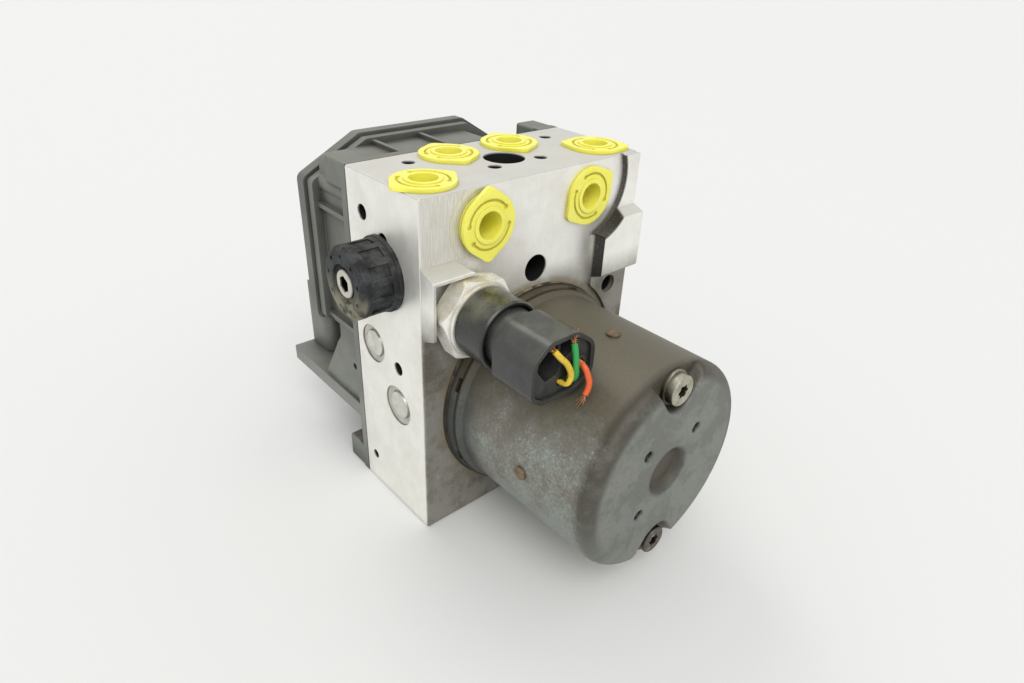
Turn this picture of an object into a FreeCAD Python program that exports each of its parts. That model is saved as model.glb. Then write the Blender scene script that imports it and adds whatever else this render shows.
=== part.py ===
import FreeCAD, Part
import math
import os

V = FreeCAD.Vector

# Sizes in millimetres. X runs to the right, Y from the motor to the controller, Z up.
# The origin is the centre of the valve block's bottom face.

# valve block
block_width = 96.0
block_depth = 42.0
block_height = 128.0
block_edge = 0.5          # broken edge of the sawn and milled block

# rail of the extruded section that is left standing on the front face
rail_height = 20.0
lug_low_step = 1.6        # the right stump sits this much above the rail's lower edge
lug_high_step = 2.8
rail_reach = 6.5
rail_slope = 2.6          # rise of the rail's sloped sides
lip_wall = 1.0            # thin wall left at the block's side
shelf_wall = 1.2          # thin wall left above the sensor
shelf_gap = 1.4           # between that wall and the hexagon's flat
shelf_end = -29.0
front_mill_radius = 15.0
rough_width = 22.0
rough_reach = 0.15
rough_mill_radius = 13.6  # cutter path round the left front port
lug_start = 28.0          # the right stump of the rail
land_reach = 1.6          # rough skin of the section, proud of the milled face
mill_place = (21.0, 120.0)    # cutter path round the right front port, x and z
mill_radius = 20.4
motor_mill_margin = 5.7   # spot face round the motor

# ports with their plugs
port_radius = 5.4
port_depth = 14.0
front_recess_radius = 9.9
top_recess_radius = 8.6
port_recess_depth = 2.8
outer_port = (37.9, -9.1)     # top face, x and y
inner_port = (13.6, 10.9)
front_port = (23.6, 115.8)    # front face, x and z
plug_fit = 0.1
plug_flange_radius = 10.4
plug_corner_radius = 12.9
plug_corner_round = 2.6
plug_thickness = 1.3
plug_groove = 0.9             # gap between the plug's flange and its sealing disc
plug_cup = 4.6
plug_wall = 0.8
plug_cup_end = 4.0            # gap between the cup and the port's floor
plug_ring_width = 1.5
plug_ring_height = 0.4
plug_slot_radius = 8.0
plug_slot_width = 0.8
plug_slot_turn = 15.0         # degrees from the flange's corners
plug_slot_span = 136.0
plug_lift = 1.6               # how far the left front plug has worked out

# open holes of the block: radius, depth
top_bore = (7.3, 16.0)
top_bore_place = (0.7, -1.5)
near_screw = (2.4, 9.0)
near_screw_place = (10.3, -8.0)
far_screw = (2.3, 9.0)
far_screw_place = (31.0, 11.5)
top_shift = 1.4               # the screw holes sit right of the middle
vent_bore = (5.0, 14.0)
vent_z = 94.0
bracket_bore = (3.6, 10.0)
bracket_place = (38.3, 77.8)
gallery_radius = 1.8
side_holes = ((11.6, 114.7, 2.7, 4.0), (-0.4, 108.5, 2.7, 4.0), (-5.7, 63.2, 2.5, 6.0),
              (14.3, 12.8, 1.9, 5.0))

# pump bores through the block at the height of the motor's axis
motor_z = 47.0
pump_y = -4.3
chamber_radius = 10.0
chamber_end = 3.0             # y of the chamber's floor
pump_bore_radius = 5.2
pump_plug_radius = 7.6
pump_plug_length = 8.0
piston_radius = 3.2
piston_length = 15.0
eccentricity = 1.0
eccentric_radius = 6.3
eccentric_width = 7.0
ring_radius = 8.6             # needle ring round the eccentric
running_fit = 0.05
clear = 0.3                   # gap between pieces that move past each other
cylinder_start = 12.0
spring_turns = 4
spring_wire = 0.9

# damper chambers
damper_y = 10.2
damper_z = 66.0
damper_radius = 7.2
damper_depth = 16.0
damper_plug_length = 5.0

# low-pressure accumulators in the bottom face
accumulator_x = 27.0
accumulator_radius = 9.5
accumulator_depth = 34.0
accumulator_cap_radius = 10.5
accumulator_cap_length = 3.6
accumulator_piston_length = 9.0
accumulator_spring_radius = 7.2
cap_recess = 0.4

# pump motor
motor_radius = 37.5
motor_end = 66.5              # from the block's face to the can's end plane
can_wall = 2.0
can_edge = 5.0
gasket_thickness = 1.5
gasket_margin = 2.9           # how far the gasket and flange stand out round the can
flange_thickness = 3.0
flange_margin = 2.3
foot_flare = 1.5              # the can's foot opens out onto the flange
foot_length = 2.8
screw_inset = 6.5
screw_shank = 2.4
screw_head = 5.1
screw_seat_length = 1.2
screw_chamfer = 0.3
star_outer = 2.7             # six-pointed socket
star_inner = 1.75
star_round = 0.45
star_depth = 2.6
screw_head_length = 4.1
screw_seat = 5.9
screw_bite = 11.0
pocket_radius = 6.6
pocket_depth = 4.2
pocket_flare = 35.0           # degrees to each side
dish_radius = 9.4
dish_depth = 2.8
dish_floor_radius = 3.6
drain_radius = 1.5
drain_place = 12.0
rivet_radius = 2.3
rivet_height = 0.7
rivet_count = 4
rivet_from_face = 37.5

# motor inside
shaft_radius = 4.0
shaft_tip = 1.5               # y of the shaft's tip in the block
air_gap = 1.75                # between the core and the magnets
core_length = 20.0
core_start = 26.0             # from the block's face
core_slots = 12
slot_width = 5.0
winding_overhang = 5.0
winding_inner = 16.5
magnet_thickness = 5.4
magnet_span = 118.0           # degrees
commutator_radius = 10.0
commutator_length = 8.9
commutator_start = 11.5
commutator_riser = 1.2         # step that the winding is joined to
plate_foot = 2.0
plate_foot_gap = 1.6
brush_plate_thickness = 2.5
brush_plate_start = 9.0
brush_width = 6.0
brush_length = 9.0
leaf_thickness = 0.6
leaf_low = 3.0
leaf_high = 11.0
leaf_foot = 6.0
front_bearing_radius = 11.0
front_bearing_width = 7.0
rear_bearing_radius = 7.8
rear_bearing_width = 6.0
collar_wall = 1.6

# solenoid valves on the back face
valve_columns = (35.0, 12.4)
valve_rows = (46.0, 80.0, 98.0)
valve_radius = 4.9
valve_depth = 12.0
valve_stem_radius = 3.3
valve_stem = 19.0
valve_floor_gap = 1.0
valve_collar = 0.6
valve_shoulder = 1.4
valve_tip_radius = 1.8
valve_tip = 1.5
coil_radius = 8.2
coil_length = 17.0
coil_gap = 2.0

# controller housing
plate_thickness = 3.4         # frame that seats on the block
wall_inset = 1.8              # main wall behind the frame's edge
housing_wall = 2.4
housing_low = 25.0
skirt_height = 6.0            # lower band of the housing, down to the shelf's underside
rim_start = 21.3              # from the block's back face
rim_thickness = 3.5
seal_thickness = 0.8
cover_rim_thickness = 4.6
rim_left = -50.9
rim_right = 50.5
rim_top = 130.0
rim_low = 61.0
rim_left_chamfer = 117.5      # height where the left chamfer starts
rim_top_left = -27.5
rim_top_right = 19.5
rim_right_chamfer = 111.0
rim_step = 1.2                # housing rim inside the cover's edge
rim_corner = 3.0
wall_right_chamfer = 106.0
wall_top_right = 17.0
pad_width = 9.8
pad_length = 13.4
pad_top_height = 9.6
foot_height = 10.6
rib_width = 1.6
rib_heights = (64.6, 108.3)
scoop_top = (38.4, 55.5)      # y and z of the slanted edge of the cheek
scoop_low = (54.6, 31.0)
shelf_left = -47.6
shelf_back = 82.0
shelf_thickness = 2.4
bay_half = 33.0
shroud_start = 65.8
shroud_end = 81.5
shroud_corner = 4.5
shroud_half = 38.6
shroud_wall = 2.4
shroud_web = 3.0              # floor of the connector socket
cover_depth = 22.0
cover_half = 38.5
cover_top = 112.0
cover_shoulder = 97.0
cover_rib_reach = 1.2
cover_rib_columns = (-30.0, -15.0, 0.0, 15.0, 30.0)
cover_rib_rows = (78.0, 94.0)
cover_wall = 2.4
board_thickness = 1.6
pin_columns = 13
pin_size = 1.2
pin_row = 4.0
pin_margin = 7.0
pin_recess = 4.0
scoop_depth = 9.0
top_ribs = (-24.0, -4.0)
pad_screw_head = 3.7
pad_screw_head_length = 3.2
pad_screw_socket = 3.2
pad_screw_shank = 2.1
pad_screw_bite = 9.0

# mounting bush on the left face
bush_y = 1.0
bush_z = 97.0
bush_radius = 12.3
bush_length = 14.4
bush_flange = 12.9
bush_flange_length = 1.3
bush_pads = 12
bush_groove = 0.8
bush_dimples = 9
bush_dimple_circle = 9.2
bush_dimple_radius = 0.75
stud_radius = 4.8
stud_thread = 3.0
stud_bite = 11.0
stud_bore = 2.1
stud_bore_depth = 9.0
stud_socket = 5.0             # width across the flats
stud_socket_depth = 2.5

# pressure sensor with its plug
sensor_x = -31.8
sensor_room = 1.54            # between the motor and the nearest flat of the hexagon
fitting_flats = 26.0
fitting_corner = 14.7         # turned corners of the hexagon
fitting_turn = 20.0
fitting_length = 9.6
fitting_relief = 2.2          # turned neck between the hexagon and the block
fitting_neck = 8.6
fitting_collar = 12.5
fitting_collar_length = 1.4
fitting_thread = 4.9
fitting_bite = 9.5
sensor_radius = 11.8
sensor_length = 12.6
sensor_socket = 10.6
sensor_socket_depth = 7.0
plug_neck = 9.5
plug_gap = 5.3                # between the sensor's mouth and the plug's shoulder
plug_length = 17.0
plug_section = ((-11.7, -6.8, 4.0), (-11.8, 4.6, 6.0), (-5.6, 10.2, 6.0), (5.5, 10.5, 6.5),
                (13.4, 4.6, 6.5), (13.4, -6.2, 5.5), (7.0, -10.1, 5.0), (-7.5, -9.8, 3.0))
plug_skin = 1.5
plug_cavity = 14.0
insert_recess = 1.0
insert_pocket = ((-9.2, 2.0), (-5.5, -3.1), (-0.8, -1.9), (1.4, 2.0), (6.5, 4.5), (6.5, 8.0),
                 (-5.0, 8.0), (-9.2, 4.2))
insert_ribs = (-6.8, 1.6)
insert_rib = 0.9
insert_rib_recess = 2.2
insert_collar = 2.3
wire_radius = 0.95
wire_bite = 4.0               # length of wire inside the insert
wire_holes = ((0.6, -5.0), (4.3, -5.2), (7.4, -0.8))

left = -block_width / 2
right = block_width / 2
front = -block_depth / 2
back = block_depth / 2
gasket_radius = motor_radius + gasket_margin
flange_radius = motor_radius + flange_margin
motor_mill_radius = motor_radius + motor_mill_margin
screw_circle = motor_radius - screw_inset
core_radius = motor_radius - can_wall - running_fit - magnet_thickness - air_gap
sensor_reach = motor_radius + sensor_room + fitting_flats / 2
sensor_z = motor_z + math.sqrt(sensor_reach ** 2 - sensor_x ** 2)
rail_high = sensor_z + fitting_flats / 2 + shelf_gap + shelf_wall
rail_low = rail_high - rail_height
lug_low = rail_low + lug_low_step
lug_high = rail_high + lug_high_step
outer_y = front - rail_reach
motor_face = front - motor_end
flange_front = front - gasket_thickness - flange_thickness
motor_screw_heights = (motor_z - screw_circle, motor_z + screw_circle)
pad_screw_heights = (foot_height / 2, block_height - pad_top_height / 2)
pad_screw_seat = back + pad_length - pad_screw_head_length - 0.6
chamber_sweep = ring_radius + eccentricity
piston_tip = chamber_sweep + clear
pump_spring_start = piston_tip + piston_length
pump_plug_start = right - pump_plug_length
nose_length = 1.2
cylinder_end = pump_plug_start - nose_length - running_fit
accumulator_cap_top = cap_recess + accumulator_cap_length
accumulator_piston_top = accumulator_depth - clear
accumulator_spring_top = accumulator_piston_top - accumulator_piston_length
rim_y = back + rim_start
seal_y = rim_y + rim_thickness
cover_y = seal_y + seal_thickness
cover_back = cover_y + cover_rim_thickness + cover_depth
shroud_low = housing_low + skirt_height + clear
shroud_floor = shroud_start + shroud_web
sensor_mouth = front - fitting_length - fitting_collar_length - sensor_length
plug_shoulder = sensor_mouth - plug_gap
plug_end = plug_shoulder - plug_length


def rod(radius, start, end):
    step = end - start
    return Part.makeCylinder(radius, step.Length, start, step)


def rod_x(radius, y, z, x_start, x_end):
    return rod(radius, V(x_start, y, z), V(x_end, y, z))


def rod_y(radius, x, z, y_start, y_end):
    return rod(radius, V(x, y_start, z), V(x, y_end, z))


def rod_z(radius, x, y, z_start, z_end):
    return rod(radius, V(x, y, z_start), V(x, y, z_end))


def box(x, y, z):
    low = V(min(x), min(y), min(z))
    return Part.makeBox(abs(x[1] - x[0]), abs(y[1] - y[0]), abs(z[1] - z[0]), low)


def turned(profile, base, axis):
    # profile holds (radius, distance along the axis) points of a closed outline
    axis = V(axis)
    side = V(0, 0, 1) if abs(axis.z) < 0.5 else V(1, 0, 0)
    points = [base + side * r + axis * s for r, s in profile]
    face = Part.Face(Part.makePolygon(points + [points[0]]))
    return face.revolve(base, axis, 360)


def rounded_wire(corners, place):
    # corners are (u, v, radius); lines between them are joined by tangent arcs
    count = len(corners)
    starts, middles, ends = [], [], []
    for i, (u, v, radius) in enumerate(corners):
        here = V(u, v, 0)
        before = V(corners[i - 1][0], corners[i - 1][1], 0)
        after = V(corners[(i + 1) % count][0], corners[(i + 1) % count][1], 0)
        d_in = (here - before).normalize()
        d_out = (after - here).normalize()
        turn = d_in.getAngle(d_out)
        reach = radius * math.tan(turn / 2)
        inward = (d_out - d_in).normalize()
        starts.append(here - d_in * reach)
        ends.append(here + d_out * reach)
        middles.append(here + inward * (radius / math.cos(turn / 2) - radius))
    edges = []
    for i, corner in enumerate(corners):
        if corner[2] > 0:
            points = [place(p.x, p.y) for p in (starts[i], middles[i], ends[i])]
            edges.append(Part.Arc(*points).toShape())
        following = starts[(i + 1) % count]
        if (following - ends[i]).Length > 1e-6:
            a = place(ends[i].x, ends[i].y)
            b = place(following.x, following.y)
            edges.append(Part.LineSegment(a, b).toShape())
    return Part.Wire(edges)


def slab_y(corners, y_start, y_end):
    wire = rounded_wire(corners, lambda u, v: V(u, y_start, v))
    return Part.Face(wire).extrude(V(0, y_end - y_start, 0))


def slab_x(corners, x_start, x_end):
    wire = rounded_wire(corners, lambda u, v: V(x_start, u, v))
    return Part.Face(wire).extrude(V(x_end - x_start, 0, 0))


def slab_z(corners, z_start, z_end):
    wire = rounded_wire(corners, lambda u, v: V(u, v, z_start))
    return Part.Face(wire).extrude(V(0, 0, z_end - z_start))


def rectangle(u, v, radius=0.0):
    return [(u[0], v[0], radius), (u[1], v[0], radius), (u[1], v[1], radius),
            (u[0], v[1], radius)]


def polar(radius, degrees):
    turn = math.radians(degrees)
    return radius * math.cos(turn), radius * math.sin(turn)


def coil(radius, wire, start, end, turns):
    # square wire wound on a helix between two points on the spring's axis
    step = end - start
    length = step.Length
    pitch = (length - wire) / turns
    helix = Part.makeHelix(pitch, length - wire, radius)
    half = wire / 2
    square = [V(radius - half, 0, -half), V(radius + half, 0, -half),
              V(radius + half, 0, half), V(radius - half, 0, half)]
    section = Part.makePolygon(square + [square[0]])
    spring = Part.Wire(helix.Edges).makePipeShell([section], True, True)
    spring.translate(V(0, 0, half))
    spring.Placement = FreeCAD.Placement(start, FreeCAD.Rotation(V(0, 0, 1), step)).multiply(
        spring.Placement)
    return spring


def group(shapes):
    return Part.makeCompound(shapes)


def rail_section(x_start, x_end, low, high):
    corners = [(front, high + rail_slope, 0), (outer_y, high, 0.8), (outer_y, low, 0.8),
               (front, low - rail_slope, 0)]
    return slab_x(corners, x_start, x_end)


def front_relief():
    # what the milling cutters left of the extruded front: lip, shelf, lug and rough skin
    lip = rail_section(left, shelf_end, rail_low, rail_high)
    pocket = box((left + lip_wall, right), (outer_y - 1, front + 0.01), (0, rail_high - shelf_wall))
    near_port = rod_y(front_mill_radius, -front_port[0], front_port[1], outer_y - 1, front)
    lip = lip.cut([pocket, near_port])
    port_mill = rod_y(mill_radius, mill_place[0], mill_place[1], outer_y - 1, front)
    motor_mill = rod_y(motor_mill_radius, 0, motor_z, outer_y - 1, front)
    lug = rail_section(lug_start, right, lug_low, lug_high)
    skin = box((lug_start, right), (front - land_reach, front), (block_edge, block_height - block_edge))
    rough = box((left + block_edge, left + rough_width), (front - rough_reach, front),
                (rail_high, block_height - block_edge))
    rough_mill = rod_y(rough_mill_radius, -front_port[0], front_port[1], front - 1, front)
    return [lip, lug.cut(port_mill), skin.cut([port_mill, motor_mill]), rough.cut(rough_mill)]


def block_bores():
    cuts = []
    for side in (-1, 1):
        for x, y in (outer_port, inner_port):
            cuts += port_bore(V(side * x, y, block_height), V(0, 0, 1), top_recess_radius)
        cuts += port_bore(V(side * front_port[0], front, front_port[1]), V(0, -1, 0), front_recess_radius)
        for (radius, depth), (x, y) in ((near_screw, near_screw_place), (far_screw, far_screw_place)):
            cuts.append(rod_z(radius, top_shift + side * x, y, block_height - depth, block_height + 1))
        for x in valve_columns:
            for z in valve_rows:
                cuts.append(rod_y(valve_radius + running_fit, side * x, z, back - valve_depth, back + 1))
        for z in pad_screw_heights:
            x = side * (right - pad_width / 2)
            cuts.append(rod_y(pad_screw_shank + clear / 2, x, z, back - pad_screw_bite - 1, back + 1))
        cuts += side_bores(side) + galleries(side)
    radius, depth = top_bore
    cuts.append(rod_z(radius, top_bore_place[0], top_bore_place[1], block_height - depth, block_height + 1))
    radius, depth = vent_bore
    cuts.append(rod_y(radius, 0, vent_z, front - 1, front + depth))
    radius, depth = bracket_bore
    cuts.append(rod_y(radius, bracket_place[0], bracket_place[1], outer_y - 1, front + depth))
    for y, z, radius, depth in side_holes:
        cuts.append(rod_x(radius, y, z, left - 1, left + depth))
    cuts.append(rod_x(stud_thread + clear / 2, bush_y, bush_z, left - 1, left + stud_bite + 1))
    cuts.append(rod_y(fitting_thread + clear / 2, sensor_x, sensor_z, front - 1, front + fitting_bite + 0.5))
    cuts.append(rod_y(chamber_radius, 0, motor_z, front - 1, chamber_end))
    cuts.append(rod_y(front_bearing_radius + running_fit, 0, motor_z, front - 1,
                      front + front_bearing_width / 2 + running_fit))
    for z in motor_screw_heights:
        cuts.append(rod_y(screw_shank + clear / 2, 0, z, front - 1, front + screw_bite + 1))
    return cuts


def port_bore(mouth, outward, recess_radius):
    bore = rod(port_radius, mouth - outward * port_depth, mouth + outward)
    recess = rod(recess_radius + plug_fit, mouth - outward * port_recess_depth, mouth + outward)
    return [bore, recess]


def side_bores(side):
    bore = rod_x(pump_bore_radius, pump_y, motor_z, side * chamber_radius / 2, side * pump_plug_start)
    seat = rod_x(pump_plug_radius + running_fit, pump_y, motor_z, side * pump_plug_start, side * (right + 1))
    damper = rod_x(damper_radius + running_fit, damper_y, damper_z, side * (right - damper_depth),
                   side * (right + 1))
    x = side * accumulator_x
    store = rod_z(accumulator_radius, x, 0, -1, accumulator_depth)
    cap = rod_z(accumulator_cap_radius + running_fit, x, 0, -1, accumulator_cap_top)
    return [bore, seat, damper, store, cap]


def galleries(side):
    # drilled ways from the ports to the valve bores
    top = block_height - port_depth + 1
    x = side * outer_port[0]
    down = rod_z(gallery_radius, x, outer_port[1], valve_rows[1], top)
    level = rod_y(gallery_radius, x, valve_rows[1], outer_port[1], back - valve_depth + 1)
    inner = rod_z(gallery_radius, side * inner_port[0], inner_port[1], valve_rows[2], top)
    return [down, level, inner]


def valve_block():
    body = box((left, right), (front, back), (0, block_height))
    body = body.makeChamfer(block_edge, body.Edges)
    body = body.fuse(front_relief())
    return body.cut(block_bores())


def port_plug(mouth, outward, recess_radius, turn, lift):
    # push-in plug: flange with two corners, sealing disc, cup and two arc slots
    tangent = math.degrees(math.acos(plug_flange_radius / plug_corner_radius))
    outline = []
    for end in (0, 180):
        outline += [(*polar(plug_flange_radius, end - tangent), 0),
                    (*polar(plug_corner_radius, end), plug_corner_round),
                    (*polar(plug_flange_radius, end + tangent), 0)]
    top = lift + plug_thickness
    disc = lift - plug_groove
    floor = lift - port_depth + plug_cup_end
    body = slab_z(outline, lift, top)
    body = body.fuse([rod_z(plug_flange_radius, 0, 0, lift, top),
                      rod_z(plug_cup + plug_ring_width, 0, 0, disc, top + plug_ring_height),
                      rod_z(recess_radius, 0, 0, lift - port_recess_depth + plug_fit, disc),
                      rod_z(port_radius - plug_fit, 0, 0, floor, lift)])
    cuts = [rod_z(plug_cup, 0, 0, floor + plug_wall, top + 1)]
    cuts += arc_slot(plug_slot_turn, top) + arc_slot(plug_slot_turn + 180, top)
    body = body.cut(cuts)
    spin = FreeCAD.Rotation(V(0, 0, 1), turn)
    lay = FreeCAD.Rotation(V(0, 0, 1), outward)
    body.Placement = FreeCAD.Placement(mouth, lay.multiply(spin))
    return body


def arc_slot(centre, top):
    # groove along an arc with a round pit at each end
    half = plug_slot_span / 2
    floor = top - plug_thickness * 0.6
    reach = plug_corner_radius * 2
    groove = rod_z(plug_slot_radius + plug_slot_width / 2, 0, 0, floor, top + 1)
    groove = groove.cut(rod_z(plug_slot_radius - plug_slot_width / 2, 0, 0, floor - 1, top + 2))
    wedge = [(0, 0, 0)]
    wedge += [(*polar(reach, centre + turn), 0) for turn in (-half, 0, half)]
    pits = []
    for turn in (-half, half):
        x, y = polar(plug_slot_radius, centre + turn)
        pits.append(rod_z(plug_slot_width, x, y, floor, top + 1))
    return [groove.common(slab_z(wedge, floor - 1, top + 2))] + pits


def port_plugs():
    up = V(0, 0, 1)
    out = V(0, -1, 0)
    top = top_recess_radius
    ports = {
        "top_plug_1": (V(-outer_port[0], outer_port[1], block_height), up, top, 4, 0),
        "top_plug_2": (V(-inner_port[0], inner_port[1], block_height), up, top, 82, 0),
        "top_plug_3": (V(inner_port[0], inner_port[1], block_height), up, top, 78, 0),
        "top_plug_4": (V(outer_port[0], outer_port[1], block_height), up, top, -45, 0),
        "front_plug_1": (V(-front_port[0], front, front_port[1]), out, front_recess_radius, 90, plug_lift),
        "front_plug_2": (V(front_port[0], front, front_port[1]), out, front_recess_radius, 33, 0),
    }
    return {name: port_plug(*values) for name, values in ports.items()}


def staked_plug(radius, length, y, z, side):
    # pressed plug with a staking groove round a flat middle
    face = right - 0.4
    profile = [(0, face), (radius * 0.66, face), (radius * 0.72, face - 0.9), (radius * 0.84, face - 0.9),
               (radius, face - 0.2), (radius, right - length), (0, right - length)]
    return turned(profile, V(0, y, z), V(side, 0, 0))


def pump_plugs():
    plugs = []
    for side in (-1, 1):
        plug = staked_plug(pump_plug_radius, pump_plug_length, pump_y, motor_z, side)
        nose = rod_x(pump_bore_radius - running_fit, pump_y, motor_z, side * (pump_plug_start - nose_length),
                     side * (pump_plug_start + 1))
        plugs.append(plug.fuse(nose))
    return group(plugs)


def damper_plugs():
    return group([staked_plug(damper_radius, damper_plug_length, damper_y, damper_z, side)
                  for side in (-1, 1)])


def pump_cylinders():
    sleeves = []
    for side in (-1, 1):
        outer = rod_x(pump_bore_radius - running_fit, pump_y, motor_z, side * cylinder_start,
                      side * cylinder_end)
        bore = rod_x(piston_radius + running_fit, pump_y, motor_z, side * (cylinder_start - 1),
                     side * (cylinder_end + 1))
        sleeves.append(outer.cut(bore))
    return group(sleeves)


def pump_piston(side):
    tip = 0.8
    end = piston_tip + piston_length
    profile = [(0, piston_tip), (piston_radius - tip, piston_tip), (piston_radius, piston_tip + tip),
               (piston_radius, end), (0, end)]
    return turned(profile, V(0, pump_y, motor_z), V(side, 0, 0))


def pump_spring(side):
    start = V(side * pump_spring_start, pump_y, motor_z)
    end = V(side * cylinder_end, pump_y, motor_z)
    return coil(piston_radius - spring_wire, spring_wire, start, end, spring_turns)


def accumulator_piston(side):
    x = side * accumulator_x
    radius = accumulator_radius - running_fit
    body = rod_z(radius, x, 0, accumulator_spring_top, accumulator_piston_top)
    groove = rod_z(radius + 1, x, 0, accumulator_spring_top + 3, accumulator_spring_top + 5)
    groove = groove.cut(rod_z(radius - 1.2, x, 0, accumulator_spring_top, accumulator_piston_top))
    return body.cut(groove)


def accumulator_spring(side):
    x = side * accumulator_x
    return coil(accumulator_spring_radius, spring_wire * 1.4, V(x, 0, accumulator_cap_top),
                V(x, 0, accumulator_spring_top), spring_turns)


def accumulator_caps():
    caps = []
    for side in (-1, 1):
        profile = [(0, cap_recess + 0.8), (accumulator_cap_radius * 0.6, cap_recess + 0.8),
                   (accumulator_cap_radius * 0.7, cap_recess), (accumulator_cap_radius, cap_recess),
                   (accumulator_cap_radius, accumulator_cap_top), (0, accumulator_cap_top)]
        caps.append(turned(profile, V(side * accumulator_x, 0, 0), V(0, 0, 1)))
    return group(caps)


def valve_places():
    return [(side * x, z) for z in valve_rows for x in valve_columns for side in (-1, 1)]


def valve_cartridges():
    valves = []
    tip = valve_stem + valve_tip
    floor = valve_floor_gap - valve_depth
    for x, z in valve_places():
        profile = [(0, floor), (valve_radius, floor), (valve_radius, valve_collar),
                   (valve_stem_radius, valve_shoulder), (valve_stem_radius, valve_stem),
                   (valve_tip_radius, tip), (0, tip)]
        valves.append(turned(profile, V(x, back, z), V(0, 1, 0)))
    return group(valves)


def solenoid_coils():
    coils = []
    start = back + coil_gap
    for x, z in valve_places():
        body = rod_y(coil_radius, x, z, start, start + coil_length)
        bore = rod_y(valve_stem_radius + clear / 2, x, z, start - 1, start + coil_length + 1)
        coils.append(body.cut(bore))
    return group(coils)


def motor_axis_turned(profile):
    # profile distances run from the block's front face towards the motor's end
    return turned(profile, V(0, front, motor_z), V(0, -1, 0))


def pocket_shape(radius, depth, sign):
    # screw pocket: round at the screw, flaring out to the rim
    centre = sign * screw_circle
    flare = math.radians(pocket_flare)
    reach = motor_radius
    tangent_u = centre - sign * radius * math.sin(flare)
    tangent_v = radius * math.cos(flare)
    out_u = tangent_u + sign * reach * math.cos(flare)
    out_v = tangent_v + reach * math.sin(flare)
    inner_u = centre - sign * radius
    y = motor_face + depth
    points = [(tangent_v, tangent_u), (out_v, out_u), (-out_v, out_u), (-tangent_v, tangent_u)]
    at = [V(a, y, motor_z + b) for a, b in points]
    arc = Part.Arc(at[3], V(0, y, motor_z + inner_u), at[0]).toShape()
    lines = [Part.LineSegment(at[i], at[i + 1]).toShape() for i in range(3)]
    face = Part.Face(Part.Wire([arc] + lines))
    return face.extrude(V(0, -depth - can_edge, 0))


def motor_can():
    start = gasket_thickness + flange_thickness
    inner = motor_radius - can_wall
    outside = rod_y(motor_radius, 0, motor_z, front - start, motor_face)
    rim = [edge for edge in outside.Edges if abs(edge.BoundBox.YMax - motor_face) < 0.01]
    outside = outside.makeFillet(can_edge, rim)
    foot_radius = motor_radius + foot_flare
    foot_end = start + foot_length
    foot = motor_axis_turned([(inner, start), (foot_radius, start), (foot_radius, start + foot_length / 3),
                              (motor_radius, foot_end), (inner, foot_end)])
    outside = outside.fuse(foot.cut(fitting_room()))
    inside = rod_y(inner, 0, motor_z, front - start + 1, motor_face + can_wall)
    rim = [edge for edge in inside.Edges if abs(edge.BoundBox.YMax - motor_face - can_wall) < 0.01]
    inside = inside.makeFillet(can_edge - can_wall, rim)
    for sign in (-1, 1):
        outside = outside.cut(pocket_shape(pocket_radius, pocket_depth, sign))
        inside = inside.cut(pocket_shape(pocket_radius + can_wall, pocket_depth + can_wall, sign))
    dish = dish_radius + can_wall
    collar = rear_bearing_radius + collar_wall
    dish_floor = motor_end - dish_depth
    inside = inside.cut(rod_y(dish, 0, motor_z, motor_face, motor_face + dish_depth + can_wall))
    inside = inside.cut(rod_y(collar, 0, motor_z, motor_face,
                              motor_face + dish_depth + can_wall + rear_bearing_width))
    can = outside.cut(inside)
    seat = rod_y(rear_bearing_radius + running_fit, 0, motor_z, motor_face + dish_depth + can_wall,
                 motor_face + dish_depth + can_wall + rear_bearing_width + 1)
    hollow = motor_axis_turned([(0, dish_floor), (dish_floor_radius, dish_floor),
                                (dish_radius - 1.4, motor_end - dish_depth * 0.4),
                                (dish_radius, motor_end), (dish_radius, motor_end + 1), (0, motor_end + 1)])
    cuts = [seat, hollow]
    for x, z in ((-1, -1), (-1, 1), (1, 1)):
        cuts.append(rod_y(drain_radius, x * drain_place, motor_z + z * drain_place, motor_face - 1,
                          motor_face + can_wall + 4))
    for z in motor_screw_heights:
        floor = motor_face + pocket_depth
        cuts.append(rod_y(screw_shank + clear / 2, 0, z, motor_face, floor + can_wall + 1))
    return can.cut(cuts)


def can_rivets():
    rivets = []
    y = front - rivet_from_face
    for k in range(rivet_count):
        inner = polar(motor_radius - can_wall / 2, 360 / rivet_count * k)
        outer = polar(motor_radius + rivet_height, 360 / rivet_count * k)
        start = V(inner[0], y, motor_z + inner[1])
        rivets.append(rod(rivet_radius, start, V(outer[0], y, motor_z + outer[1])))
    return group(rivets)


def riveted_can():
    return motor_can().cut(can_rivets())


def motor_flange():
    hub = front_bearing_radius + running_fit
    end = gasket_thickness + flange_thickness
    ring = motor_axis_turned([(hub, gasket_thickness), (flange_radius, gasket_thickness),
                              (flange_radius, end), (motor_radius - can_wall - clear, end),
                              (motor_radius - can_wall - clear, end + 1.5),
                              (motor_radius - can_wall * 2 - clear, end + 1.5),
                              (motor_radius - can_wall * 2 - clear, end), (hub, end)])
    cuts = []
    for angle in range(0, 360, 45):
        notch = box((motor_radius - 0.2, flange_radius + 1), (flange_front - 1, flange_front + 1.4),
                    (motor_z - 2.6, motor_z + 2.6))
        notch.rotate(V(0, 0, motor_z), V(0, 1, 0), angle + 22.5)
        cuts.append(notch)
    for z in motor_screw_heights:
        cuts.append(rod_y(screw_shank + clear / 2, 0, z, front, flange_front - 3))
    return ring.cut(cuts + [fitting_room()])


def fitting_room():
    # scallop that clears the corners of the sensor's hexagon
    return rod_y(fitting_corner + clear, sensor_x, sensor_z, front - fitting_length - clear, front + 1)


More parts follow.
